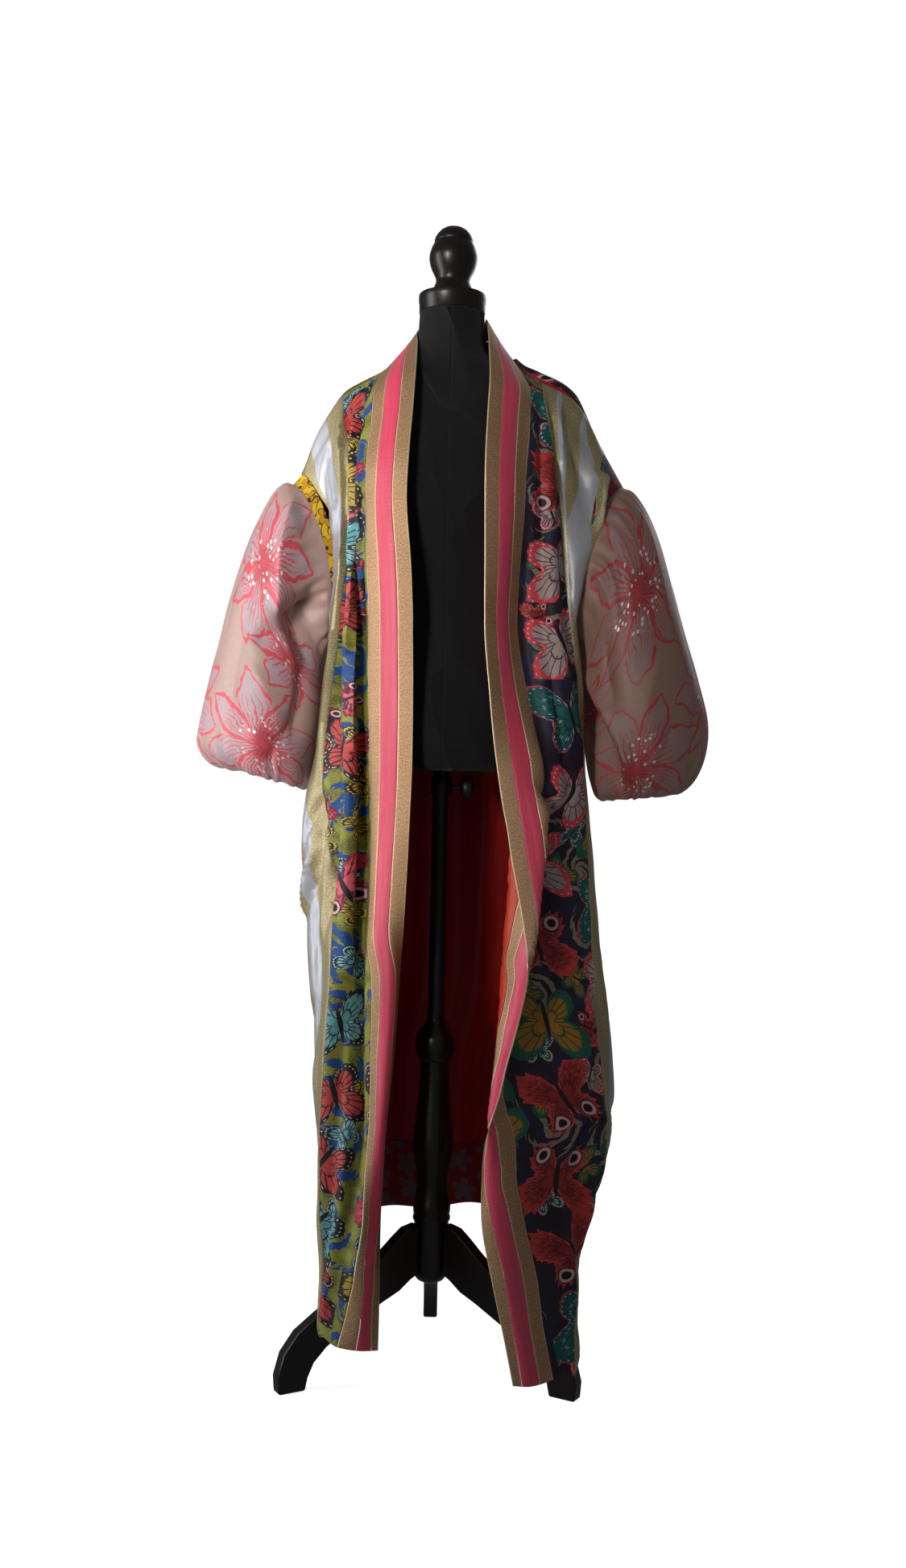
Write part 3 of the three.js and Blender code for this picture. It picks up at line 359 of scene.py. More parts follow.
# A thin wall between two grids of points, rows first; uv and seams are one pair for each corner of the grid.
def clothMesh(name, outer, inner, uv, seams, closed=False, pattern=None):
    rowCount, columnCount = outer.shape[:2]
    wide = columnCount if closed else columnCount - 1
    r, c = np.mgrid[0 : rowCount - 1, 0:wide]
    corners = [(r, c), (r, c + 1), (r + 1, c + 1), (r + 1, c)]
    layer = rowCount * columnCount
    verts = np.stack([(a * columnCount + b % columnCount).ravel() for a, b in corners], axis=1)
    uvs = np.stack([(a * (wide + 1) + b).ravel() for a, b in corners], axis=1)
    faces, faceUvs, inside = [verts, verts[:, ::-1] + layer], [uvs, uvs[:, ::-1]], [0, 1]
    for row in (0, rowCount - 1):
        c = np.arange(wide)
        a, b = row * columnCount + c, row * columnCount + (c + 1) % columnCount
        ua, ub = row * (wide + 1) + c, row * (wide + 1) + c + 1
        faces.append(np.stack([a, a + layer, b + layer, b], axis=1)[:, :: 1 if row == 0 else -1])
        faceUvs.append(np.stack([ua, ua, ub, ub], axis=1)[:, :: 1 if row == 0 else -1])
        inside.append(0)
    if not closed:
        for column in (0, columnCount - 1):
            r = np.arange(rowCount - 1)
            a, b = r * columnCount + column, (r + 1) * columnCount + column
            faces.append(np.stack([b, b + layer, a + layer, a], axis=1)[:, :: 1 if column == 0 else -1])
            faceUvs.append(faces[-1] % layer)
            inside.append(0)
    sides = np.concatenate([np.full(len(f), side) for f, side in zip(faces, inside)])
    faces, faceUvs = np.concatenate(faces), np.concatenate(faceUvs)
    points = np.concatenate([outer.reshape(-1, 3), inner.reshape(-1, 3)])
    points = (points + np.array(garment["shift"])) / 1000
    mesh = bpy.data.meshes.new(name)
    mesh.vertices.add(len(points))
    mesh.vertices.foreach_set("co", points.ravel())
    mesh.loops.add(faces.size)
    mesh.loops.foreach_set("vertex_index", faces.ravel())
    mesh.polygons.add(len(faces))
    mesh.polygons.foreach_set("loop_start", np.arange(0, faces.size, 4))
    mesh.polygons.foreach_set("material_index", sides)
    layers = {"cloth": uv, "seams": seams, "pattern": uv if pattern is None else pattern}
    for layerName, values in layers.items():
        made = mesh.uv_layers.new(name=layerName)
        made.data.foreach_set("uv", values.reshape(-1, 2)[faceUvs.ravel()].ravel())
    mesh.update(calc_edges=True)
    return finishedPiece(name, mesh, 62)


# Width, length and area of the flat cut that a grid of points came from, in metres.
def flatSize(outer, closed=False):
    grid = np.concatenate([outer, outer[:, :1]], axis=1) if closed else outer
    width = np.linalg.norm(np.diff(grid, axis=1), axis=-1).sum(axis=1).max()
    length = np.linalg.norm(np.diff(grid, axis=0), axis=-1).sum(axis=0).max()
    across, along = np.diff(grid, axis=1)[:-1], np.diff(grid, axis=0)[:, :-1]
    area = np.linalg.norm(np.cross(across, along), axis=-1).sum()
    return (round(width / 1000, 3), round(length / 1000, 3)), area / 1e6


# Gives a cloth piece its finishes, its place in the part and its flat cut.
def wear(piece, node, outside, inside, flat=None):
    piece.data.materials.append(outside)
    piece.data.materials.append(inside)
    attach(piece, "root")
    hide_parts(node)
    size, area = flat
    area = min(max(area, garment["leastShare"] * size[0] * size[1]), size[0] * size[1])
    print(f"{piece.name}: cut {size[0]} x {size[1]} m, {area:.3f} m2")


class Socket:  # an output in a material's tree; arithmetic on it adds Math nodes
    def __init__(self, tree, output):
        self.tree, self.output = tree, output

    def math(self, operation, *others):
        return self.tree.node("ShaderNodeMath", {"operation": operation}, dict(enumerate((self, *others))))

    def __add__(self, other):
        return self.math("ADD", other)

    def __sub__(self, other):
        return self.math("SUBTRACT", other)

    def __mul__(self, other):
        return self.math("MULTIPLY", other)

    def __truediv__(self, other):
        return self.math("DIVIDE", other)

    def __pow__(self, other):
        return self.math("POWER", other)

    def __gt__(self, other):
        return self.math("GREATER_THAN", other)

    def __abs__(self):
        return self.math("ABSOLUTE")

    def __rsub__(self, other):
        return self.tree.node("ShaderNodeMath", {"operation": "SUBTRACT"}, {0: other, 1: self})

    __radd__, __rmul__ = __add__, __mul__

    def low(self, other):
        return self.math("MINIMUM", other)

    def high(self, other):
        return self.math("MAXIMUM", other)

    def sin(self):
        return self.math("SINE")

    def part(self):
        return self.math("FRACT")

    def whole(self):
        return self.math("FLOOR")

    def under(self, edge, soft):  # 1 below the edge, 0 above it, with a soft change
        return self.tree.node(
            "ShaderNodeMapRange",
            {"interpolation_type": "SMOOTHSTEP"},
            {"Value": self, "From Min": edge - soft, "From Max": edge + soft, "To Min": 1.0, "To Max": 0.0},
        )

    def over(self, edge, soft):
        return 1 - self.under(edge, soft)


class Finish:  # one material: its tree, its shader and the few calls that fill them
    def __init__(self, name, **constants):
        self.material = bpy.data.materials.new(name)
        self.material.use_nodes = True
        self.nodes, self.links = self.material.node_tree.nodes, self.material.node_tree.links
        self.shader = self.nodes["Principled BSDF"]
        for socket, value in constants.items():
            self.shader.inputs[socket.replace("_", " ")].default_value = value

    def node(self, kind, settings=None, inputs=None, out=0):
        made = self.nodes.new(kind)
        for key, value in (settings or {}).items():
            if key == "stops":
                self.setStops(made.color_ramp, value)
            elif key == "spline":
                made.color_ramp.interpolation = value
            else:
                setattr(made, key, value)
        for key, value in (inputs or {}).items():
            self.feed(made.inputs[key], value)
        return Socket(self, made.outputs[out])

    def feed(self, socket, value):
        if isinstance(value, Socket):
            self.links.new(value.output, socket)
        elif isinstance(value, tuple) and socket.type == "RGBA":
            socket.default_value = (*value[:3], 1.0)
        else:
            socket.default_value = value

    def setStops(self, ramp, stops):
        while len(ramp.elements) > 1:
            ramp.elements.remove(ramp.elements[0])
        for k, (place, value) in enumerate(stops):
            stop = ramp.elements[0] if k == 0 else ramp.elements.new(place)
            stop.position = place
            stop.color = (*value, 1.0) if isinstance(value, tuple) else (value, value, value, 1.0)

    def ramp(self, value, stops, spline="LINEAR"):
        return self.node("ShaderNodeValToRGB", {"stops": stops, "spline": spline}, {"Fac": value})

    def mix(self, factor, a, b, how="MIX"):
        settings = {"data_type": "RGBA", "blend_type": how}
        return self.node("ShaderNodeMix", settings, {0: factor, 6: a, 7: b}, out=2)

    def parts(self, vector):
        split = self.node("ShaderNodeSeparateXYZ", None, {0: vector})
        return [Socket(self, output) for output in split.output.node.outputs]

    def place(self, layer="cloth"):  # the two coordinates of a UV layer, in metres
        return self.parts(self.node("ShaderNodeUVMap", {"uv_map": layer}))[:2]

    def point(self, x, y, z=0.0):
        return self.node("ShaderNodeCombineXYZ", None, {0: x, 1: y, 2: z})

    def noise(self, vector, scale, detail=2.0, roughness=0.5, out=0):
        inputs = {"Vector": vector, "Scale": scale, "Detail": detail, "Roughness": roughness}
        return self.node("ShaderNodeTexNoise", {"noise_dimensions": "3D"}, inputs, out=out)

    def paint(self, colour, height, strength, roughness=None, metallic=None, depth=0.001):
        for socket, value in (("Base Color", colour), ("Roughness", roughness), ("Metallic", metallic)):
            if value is not None:
                self.feed(self.shader.inputs[socket], value)
        bump = self.node("ShaderNodeBump", None, {"Strength": strength, "Distance": depth, "Height": height})
        self.feed(self.shader.inputs["Normal"], bump)
        return self.material


def srgb(*parts):
    return tuple(((c / 255 + 0.055) / 1.055) ** 2.4 if c > 10 else c / 255 / 12.92 for c in parts)


# The place inside one cell of a brick layout, turned at random, and three random numbers of the cell.
def cellOf(f, u, v, plan):
    wide, high = plan["cell"]
    column = (u / wide).whole()
    down = v / high + column * plan["brick"]
    cell = f.point(column, down.whole(), plan["seed"])
    kind, turn, slide = f.parts(f.node("ShaderNodeTexWhiteNoise", None, {"Vector": cell}, out=1))
    x = ((u / wide).part() - 0.5 + (slide - 0.5) * plan["jitter"]) * wide
    y = (down.part() - 0.5 + (turn - 0.5) * plan["jitter"]) * high
    angle = (turn > 0.5) * math.pi + (slide - 0.5) * plan["swing"]
    inputs = {"Vector": f.point(x, y), "Angle": angle}
    x, y, _ = f.parts(f.node("ShaderNodeVectorRotate", {"rotation_type": "Z_AXIS"}, inputs))
    return x, y, (kind, turn, slide)


butterfly = {  # the reach of a wing at angles from straight down (0) to straight up (1)
    "reach": (
        (0.0, 0.08), (0.08, 0.36), (0.17, 0.74), (0.27, 0.78), (0.38, 0.66), (0.455, 0.36), (0.52, 0.50),
        (0.60, 0.86), (0.69, 1.0), (0.77, 1.0), (0.86, 0.66), (0.93, 0.28), (1.0, 0.08),
    ),
    "rim": 0.75,
    "veins": 13,
    "dots": 24,
    "scallops": 17,
    "eye": (0.34, -0.36),  # place of the spot on a hind wing, in shares of the reach
    "rings": (srgb(240, 190, 190), srgb(20, 12, 20)),  # inside the spot's dark line
}


def choice(f, kind, plan, key):  # the colour or the number that a butterfly's kind gives
    values = [srgb(*value) if isinstance(value, tuple) else value for value in plan["kinds"][key]]
    return f.ramp(kind, tuple(zip(plan["from"], values)), "CONSTANT")


def besideRay(angle, radius, count):  # distance from the nearest of count rays spread over a half turn
    return ((angle * count).part() - 0.5) * radius * (math.pi / count)


def butterflies(f, u, v, plan):  # butterflies in a brick layout: their colour, and 1 where they lie
    x, y, (kind, turn, _) = cellOf(f, u, v, plan)
    size = plan["size"]
    chosen = {key: choice(f, kind, plan, key) for key in plan["kinds"]}
    side = abs(x)
    angle = y.math("ARCTAN2", side) / math.pi + 0.5
    radius = (x * x + y * y) ** 0.5
    scallop = abs((angle * math.pi * butterfly["scallops"]).sin()) * chosen["scallop"]
    edge = f.ramp(angle, butterfly["reach"], "B_SPLINE") * size * (1 - scallop)
    share = radius / edge
    spot = besideRay(angle, radius, butterfly["veins"])
    vein = abs(spot).under(share * 0.0007 + 0.0004, 0.0002) * share.over(0.3, 0.02)
    vein = vein.high(abs(share - 0.36).under(0.02, 0.01))
    across, out = besideRay(angle, radius, butterfly["dots"]), (share - 0.9) * edge
    dots = ((across * across + out * out) ** 0.5).under(0.0012, 0.0004)
    inner = (share - 0.62) * edge
    patches = ((spot * spot + inner * inner * 0.3) ** 0.5).under(0.0019, 0.0004) * chosen["patch"]
    ex, ey = side - butterfly["eye"][0] * size, y - butterfly["eye"][1] * size
    eye = (ex * ex + ey * ey) ** 0.5 / (chosen["eye"] * size + 0.00001)
    shade = f.noise(f.point(x * 300, y * 300, turn * 50), 0.7, detail=3)
    colour = f.mix(shade, chosen["fill"], chosen["fill2"])
    colour = f.mix(patches, colour, chosen["dot"])
    colour = f.mix(vein, colour, chosen["vein"])
    colour = f.mix(share.over(butterfly["rim"], 0.03), colour, chosen["rim"])
    colour = f.mix(dots, colour, chosen["dot"])
    for reach, ring in zip((1.0, 0.82, 0.5), (plan["line"], *butterfly["rings"])):
        colour = f.mix(eye.under(reach, 0.08), colour, ring)
    colour = f.mix(share.over(0.955, 0.012), colour, chosen["outline"])
    bodyX, bodyY = x / (size * 0.045), (y + size * 0.04) / (size * 0.36)
    body = (bodyX * bodyX + bodyY * bodyY).under(1, 0.25)
    feeler = abs(side - (y - size * 0.3) * 0.5).under(0.0005, 0.0002)
    feeler = feeler * y.over(size * 0.3, 0.0004) * y.under(size * 0.56, 0.0004)
    colour = f.mix(body.high(feeler), colour, plan["line"])
    present = kind.over(plan["gone"], 0.001)
    return colour, share.under(1, 0.015).high(body).high(feeler) * present


def leafSprays(f, u, v, plan):  # curved, ragged leaf sprays in a brick layout: 1 where they lie
    wx, wy, _ = f.parts(f.noise(f.point(u, v), plan["ragged"], out=1))
    x, y, (kind, _, _) = cellOf(f, u + (wx - 0.5) * plan["warp"], v + (wy - 0.5) * plan["warp"], plan)
    radius = (x * x + y * y) ** 0.5 / plan["size"]
    turns = y.math("ARCTAN2", x) / (2 * math.pi) + radius.math("LOGARITHM", math.e) * plan["curl"]
    lobe = abs((turns * math.pi * plan["arms"]).math("COSINE")) ** plan["slender"]
    teeth = 1 - abs((radius * 21 + turns * 24).sin()) * 0.3
    leaf = (radius / ((lobe * 0.85 + 0.12) * teeth)).under(1, 0.04)
    return leaf * kind.under(plan["share"], 0.001)


# Height of fine threads and of the small puckers along the seams, in millimetres.
def clothBump(f, u, v, fine=0.25):
    toLeft, toRight = f.place("seams")
    nearSeam = toLeft.low(toRight).under(0.007, 0.006)
    pucker = (v * 900 + f.noise(f.point(u, v), 60) * 9).sin() * nearSeam * 0.16
    stitch = abs(toLeft.low(toRight) - 0.0022).under(0.0005, 0.0003)
    stitch = stitch * abs((v / 0.0034).part() - 0.5).under(0.33, 0.08)
    threads = f.noise(f.point(u * 3, v), 700, detail=1)
    rumple = f.noise(f.point(u, v * 0.4), 28, detail=3) * 0.7
    return pucker - stitch * 0.25 + threads * fine + rumple


olive = {
    "ground": (srgb(146, 146, 54), srgb(100, 102, 32), srgb(182, 180, 90)),
    "large": {
        "cell": (0.112, 0.098), "brick": 0.5, "seed": 4.0, "jitter": 0.05, "swing": 0.9, "size": 0.068, "gone": 0.15,
        "line": srgb(24, 14, 26), "from": (0, 0.36, 0.52, 0.84),
        "kinds": {  # monarchs, turquoise ones, red spotted ones, yellow and black ones
            "fill": ((222, 92, 78), (120, 192, 190), (212, 58, 86), (206, 176, 62)),
            "fill2": ((176, 46, 52), (70, 140, 160), (240, 128, 140), (150, 120, 30)),
            "rim": ((26, 14, 30), (24, 22, 36), (196, 40, 70), (28, 20, 20)),
            "vein": ((30, 14, 28), (24, 22, 36), (96, 20, 60), (26, 20, 20)),
            "dot": ((244, 206, 196), (180, 232, 232), (70, 18, 56), (226, 200, 90)),
            "outline": ((22, 12, 26), (20, 16, 34), (64, 16, 52), (20, 14, 18)),
            "eye": (0.0, 0.0, 0.17, 0.0),
            "patch": (0.0, 1.0, 1.0, 1.0),
            "scallop": (0.03, 0.04, 0.13, 0.05),
        },
    },
    "leaves": {
        "cell": (0.09, 0.1), "brick": 0.35, "seed": 9.0, "jitter": 0.2, "swing": 3.0, "size": 0.062,
        "curl": 0.2, "arms": 5, "slender": 1.6, "ragged": 80.0, "warp": 0.012, "share": 1.1,
    },
    "leaf": (srgb(24, 92, 168), srgb(14, 52, 112)),
    "small": {"cell": (0.071, 0.063), "seed": 14.0, "jitter": 0.2, "swing": 2.4, "size": 0.033, "gone": 0.25},
}
navy = {
    "ground": (srgb(36, 22, 40), srgb(34, 34, 70), srgb(20, 12, 22)),
    "large": {
        "cell": (0.124, 0.11), "brick": 0.5, "seed": 2.0, "jitter": 0.05, "swing": 0.9, "size": 0.079, "gone": -1.0,
        "line": srgb(36, 14, 24), "from": (0, 0.38, 0.55, 0.82),
        "kinds": {  # mustard with green rims, white with coral rims, red with eye spots, teal
            "fill": ((196, 144, 40), (208, 190, 180), (184, 48, 46), (22, 128, 118)),
            "fill2": ((158, 106, 24), (168, 148, 150), (148, 30, 40), (12, 84, 88)),
            "rim": ((30, 104, 84), (232, 74, 88), (206, 58, 56), (16, 92, 90)),
            "vein": ((28, 84, 60), (88, 56, 78), (92, 20, 32), (10, 46, 56)),
            "dot": ((24, 60, 50), (252, 214, 212), (236, 112, 96), (206, 232, 228)),
            "outline": ((26, 92, 76), (214, 60, 78), (222, 70, 74), (226, 70, 88)),
            "eye": (0.0, 0.0, 0.16, 0.0),
            "patch": (0.0, 0.0, 1.0, 1.0),
            "scallop": (0.02, 0.05, 0.14, 0.03),
        },
    },
    "leaves": {
        "cell": (0.1, 0.1), "brick": 0.4, "seed": 6.0, "jitter": 0.2, "swing": 3.0, "size": 0.055,
        "curl": 0.32, "arms": 4, "slender": 2.4, "ragged": 60.0, "warp": 0.012, "share": 0.62,
    },
    "leaf": (srgb(182, 164, 138), srgb(108, 94, 84)),
    "small": {"cell": (0.078, 0.07), "seed": 17.0, "jitter": 0.2, "swing": 2.4, "size": 0.034, "gone": 0.2},
}


def printedCotton(name, plan):  # butterflies over leaf scrolls on a mottled ground
    f = Finish(name, Roughness=0.62)
    u, v = f.place()
    large, low, high = plan["ground"]
    place = f.point(u, v)
    mottle = f.noise(place, 34, detail=1)
    stipple = f.noise(place, 480, detail=1).over(0.58, 0.03)
    colour = f.mix(mottle.over(0.52, 0.1), large, low)
    colour = f.mix(stipple * 0.5, colour, high)
    leaf = leafSprays(f, u, v, plan["leaves"])
    colour = f.mix(leaf, colour, f.mix(f.noise(place, 150), *plan["leaf"]))
    for flight in ("small", "large"):
        wing, cover = butterflies(f, u, v, {**plan["large"], **plan[flight]})
        colour = f.mix(cover, colour, wing)
    return f.paint(colour, height=clothBump(f, u, v), strength=0.5)


bandCloth = {
    "gold": (srgb(216, 176, 134), srgb(158, 118, 86), srgb(246, 222, 182)),
    "pink": (srgb(244, 84, 116), srgb(216, 58, 88)),
}


def goldBrocade():
    f = Finish("goldBrocade", Specular_IOR_Level=0.6)
    u, v = f.place()
    toLeft, toRight = f.place("seams")
    threads = f.noise(f.point(u * 1.6, v), 420, detail=2, roughness=0.75)
    slow = f.noise(f.point(u, v), 22)
    middle, dark, light = bandCloth["gold"]
    colour = f.mix(threads.over(0.5, 0.12), dark, middle)
    colour = f.mix(threads.over(0.66, 0.05) * 0.7, colour, light)
    colour = f.mix(slow * 0.35, colour, dark)
    edging = toLeft.low(toRight).under(0.0014, 0.0005)
    colour = f.mix(edging * 0.85, colour, light)
    roughness, metallic = 0.34 + threads * 0.3, 0.35 + threads * 0.4
    return f.paint(colour, clothBump(f, u, v, 1.2), 0.5, roughness, metallic)


def pinkSatin():
    f = Finish("pinkSatin", Specular_IOR_Level=0.6, Sheen_Weight=0.15)
    u, v = f.place()
    creases = f.noise(f.point(u * 9, v * 0.7), 14, detail=3)
    colour = f.mix(creases, *bandCloth["pink"])
    height = clothBump(f, u, v, 0.1) + creases * 1.6
    return f.paint(colour, roughness=0.36 + creases * 0.15, height=height, strength=0.6)


stripes = {
    "width": 29,  # of one stripe, in millimetres of cloth
    "goldShare": 0.5,  # of a gold and a silver stripe together
    "silver": (srgb(188, 190, 198), srgb(146, 148, 158)),
    "lame": (srgb(196, 184, 142), srgb(232, 222, 182), srgb(150, 136, 98)),
}


def stripedSatin():
    f = Finish("stripedSatin", Specular_IOR_Level=0.7)
    u, v = f.place()
    across = (f.place("pattern")[0] / 2).part()
    isGold = across.under(stripes["goldShare"], 0.01).high(across.over(0.99, 0.01))
    glitter = f.noise(f.point(u * 1.5, v), 520, detail=2, roughness=0.8)
    streaks = f.noise(f.point(u * 8, v * 0.6), 40, detail=3)
    middle, light, dark = stripes["lame"]
    lame = f.mix(glitter.over(0.52, 0.1), dark, middle)
    lame = f.mix(glitter.over(0.64, 0.05), lame, light)
    satin = f.mix(streaks * 0.4, *stripes["silver"])
    edge = abs(across - stripes["goldShare"]).under(0.012, 0.006)
    colour = f.mix(isGold, satin, lame)
    colour = f.mix(edge * 0.4, colour, dark)
    inputs = {"Vector": f.point(u * 1.6, v * 0.8 + streaks * 0.004), "Scale": 30.0}
    crumple = f.node("ShaderNodeTexVoronoi", {"feature": "DISTANCE_TO_EDGE"}, inputs)
    height = clothBump(f, u, v, 0.2) + crumple.low(0.25) * 4.0
    return f.paint(colour, height, 0.45, roughness=0.36 + isGold * 0.14, metallic=0.2 + isGold * 0.25)


def liningSatin(name, colours):
    f = Finish(name, Specular_IOR_Level=0.55)
    u, v = f.place()
    streaks = f.noise(f.point(u * 6, v * 0.5), 18, detail=3)
    height = clothBump(f, u, v, 0.1) + streaks * 2.0
    return f.paint(f.mix(streaks, *colours), roughness=0.42 + streaks * 0.1, height=height, strength=0.6)


smallPrints = {
    "hemPrint": {"ground": srgb(146, 26, 38), "petal": srgb(104, 108, 118), "heart": srgb(196, 60, 70), "cell": 0.046, "lines": 0.0},
    "yellowPrint": {"ground": srgb(232, 190, 34), "petal": srgb(214, 154, 20), "heart": srgb(30, 20, 16), "cell": 0.03, "lines": 0.05},
    "redPrint": {"ground": srgb(150, 22, 48), "petal": srgb(20, 112, 110), "heart": srgb(230, 80, 90), "cell": 0.04, "lines": 0.045},
}


def flowerPrint(name):  # five-petalled flowers on a plain ground, some with thin dark lines between
    plan = smallPrints[name]
    f = Finish(name, Roughness=0.6)
    u, v = f.place()
    layout = {"cell": (plan["cell"], plan["cell"]), "brick": 0.5, "seed": 3.0, "jitter": 0.3, "swing": 3.0}
    x, y, _ = cellOf(f, u, v, layout)
    radius = (x * x + y * y) ** 0.5 / plan["cell"]
    petals = 0.2 + abs((y.math("ARCTAN2", x) * 2.5).sin()) * 0.24
    colour = f.mix(radius.under(petals, 0.02), plan["ground"], plan["petal"])
    drawn = abs(radius - petals).under(0.022, 0.012).high(radius.under(0.08, 0.02))
    colour = f.mix(drawn, colour, plan["heart"])
    contour = abs((f.noise(f.point(u, v), 46, detail=1) * 3).part() - 0.5).under(plan["lines"], 0.02)
    colour = f.mix(contour * (plan["lines"] > 0), colour, srgb(24, 16, 18))
    return f.paint(colour, height=clothBump(f, u, v), strength=0.5)


lily = {
    "petals": 8,
    "width": 0.25,  # half width of a petal, in shares of its length
    "profile": ((0.0, 0.20), (0.16, 0.34), (0.34, 0.78), (0.52, 1.0), (0.7, 0.86), (0.84, 0.5), (0.94, 0.22), (1.0, 0.0)),
    "outline": 0.0021,
    "vein": 0.0014,
    "veins": 7,
    "ruffle": ((24.0, 0.026), (110.0, 0.0062)),  # scale and size of the waves in the outline
    "foil": {"spacing": 0.0078, "radius": 0.29, "from": 0.14, "to": 0.44, "share": 0.85},
    "ground": (srgb(212, 184, 170), srgb(190, 160, 148)),
    "petal": (srgb(212, 190, 192), srgb(186, 160, 166)),
    "ink": srgb(236, 88, 98),
    "stamen": srgb(120, 92, 100),
    "silver": srgb(252, 252, 255),
    "toneAndPaintedShade": {"right": (0.88, 0.84, 0.88), "left": (0.66, 0.54, 0.48)},  # the left sleeve darkened and browned as painted shade; the right only slightly dimmed
}
flowers = {  # around the sleeve, up from the turned edge, length of a petal in metres, turn in degrees
    "right": (
        (0.374, 0.316, 0.090, 16), (0.462, 0.262, 0.078, 50), (0.430, 0.108, 0.098, 0),
        (0.262, 0.130, 0.090, 35), (0.205, 0.318, 0.090, 8), (0.085, 0.190, 0.092, 28),
    ),
    "left": (
        (0.417, 0.322, 0.108, 10), (0.452, 0.098, 0.102, 42), (0.300, 0.165, 0.088, 20),
        (0.225, 0.335, 0.090, 50), (0.115, 0.180, 0.096, 5), (0.545, 0.250, 0.060, 25),
    ),
}


def blushTaffeta(side):  # shot taffeta with large lilies drawn in ink, their hearts set with foil dots; on the left sleeve its colour is darkened and browned as painted shade
    f = Finish("blushTaffeta_" + side, Specular_IOR_Level=0.55, Sheen_Weight=0.1)
    u, v = f.place()
    place = f.point(u, v)
    wx, wy = u, v
    for scale, size in lily["ruffle"]:
        sway = f.parts(f.noise(place, scale, detail=1, out=1))
        wx, wy = wx + (sway[0] - 0.5) * size, wy + (sway[1] - 0.5) * size
    fibres = f.noise(f.point(u * 0.6, v * 2), 160, detail=3)
    wave = f.noise(place, 55)
    colour = f.mix(fibres, *lily["ground"])
    dots, rings = lily["foil"], []
    inputs = {"Vector": place, "Scale": 1 / dots["spacing"], "Randomness": 0.75}
    grid = f.node("ShaderNodeTexVoronoi", {"feature": "F1"}, inputs)
    dice = f.parts(Socket(f, grid.output.node.outputs[1]))
    isDot = grid.under(dots["radius"], 0.03) * dice[0].under(dots["share"], 0.01)
    for placeU, placeV, length, degrees in flowers[side]:
        dx, dy = wx - placeU, wy - placeV
        radius = (dx * dx + dy * dy) ** 0.5
        turns = dy.math("ARCTAN2", dx) / (2 * math.pi) + degrees / 360 + 1
        sector = (turns * lily["petals"]).part() - 0.5
        odd = ((turns * lily["petals"]).whole() * 0.5).part() * 2
        bend = sector * (2 * math.pi / lily["petals"])
        along, aside = radius * bend.math("COSINE") / length, radius * bend.sin()
        half = f.ramp(along, lily["profile"], "B_SPLINE") * (length * lily["width"]) * (1.12 - odd * 0.42)
        isPetal = abs(aside).under(half, 0.0006) * along.under(1, 0.005)
        shade = f.noise(f.point(along * 5, sector * 9, odd), 2.0)
        colour = f.mix(isPetal, colour, f.mix(shade, *lily["petal"]))
        rib = abs((aside / (half + 0.002) * (lily["veins"] / 2)).part() - 0.5) * half * (2 / lily["veins"])
        ribs = rib.under((1.02 - along) * lily["vein"], 0.0003) * isPetal
        ribs = ribs * along.under(0.8 - wave * 0.3, 0.05)
        seam = abs(abs(sector) - 0.5) * radius * (2 * math.pi / lily["petals"])
        outline = abs(abs(aside) - half).under((0.55 + wave) * lily["outline"], 0.0005)
        outline = outline * along.under(1.01, 0.005)
        outline = outline.high(seam.under(0.0011, 0.0004) * isPetal)
        heart = (radius / length).under(0.17, 0.06)
        colour = f.mix(outline.high(ribs).high(heart), colour, lily["ink"])
        stamen = abs((turns * 20).part() - 0.5).under(0.16, 0.06)
        stamen = stamen * along.over(0.07, 0.02) * along.under(0.24, 0.05)
        colour = f.mix(stamen * 0.8, colour, lily["stamen"])
        ring = radius.over(dots["from"] * length, 0.003) * radius.under(dots["to"] * length, 0.004)
        rings.append(ring)
    foil = rings[0]
    for ring in rings[1:]:
        foil = foil.high(ring)
    foil = foil * isDot
    # painted shade: the left sleeve's colour multiplied darker and browner; the right's only slightly dimmed
    colour = f.mix(1.0, colour, lily["toneAndPaintedShade"][side], "MULTIPLY")
    colour = f.mix(foil, colour, lily["silver"])
    height = clothBump(f, u, v, 0.15) + foil * 0.6 + f.noise(f.point(u * 0.8, v), 16, detail=4) * 5
    return f.paint(colour, height, 0.5, roughness=0.46 - foil * 0.2, metallic=foil * 0.25)


cover = {"cloth": (srgb(24, 24, 28), srgb(15, 15, 18)), "seamAt": -0.0145}


def formCover():  # black woven cover with soft slanting wrinkles and a seam down the front
    f = Finish("formCover", Roughness=0.9, Specular_IOR_Level=0.3, Sheen_Weight=0.12)
    x, y, z = f.parts(f.node("ShaderNodeTexCoord", out=3))
    slant = f.point(x * 1.3 + z * 0.55, y, z * 0.4 - x * 0.25)
    wrinkles = f.noise(slant, 12)
    sharp = 1 - abs(f.noise(slant, 8, detail=1) - 0.5) * 2
    weave = f.noise(f.point(x, y, z), 1300, detail=0)
    seam = abs(x - cover["seamAt"] - (z * 14).sin() * 0.0008).under(0.0012, 0.0009)
    height = wrinkles * 13 + sharp ** 6 * 9 + weave * 0.25 - seam * 1.3
    light, dark = cover["cloth"]
    return f.paint(f.mix(weave.high(seam * 0.8), dark, light), height, 0.9)


def darkWood():
    f = Finish("darkWood", Specular_IOR_Level=0.4, Coat_Weight=0.16, Coat_Roughness=0.24)
    x, y, z = f.parts(f.node("ShaderNodeTexCoord", out=3))
    grain = f.noise(f.point(x * 6, y * 6, z * 0.6), 26, detail=5, roughness=0.65)
    colour = f.mix(grain, srgb(26, 17, 13), srgb(12, 8, 7))
    return f.paint(colour, roughness=0.24 + grain * 0.2, height=grain, depth=0.0004, strength=0.35)


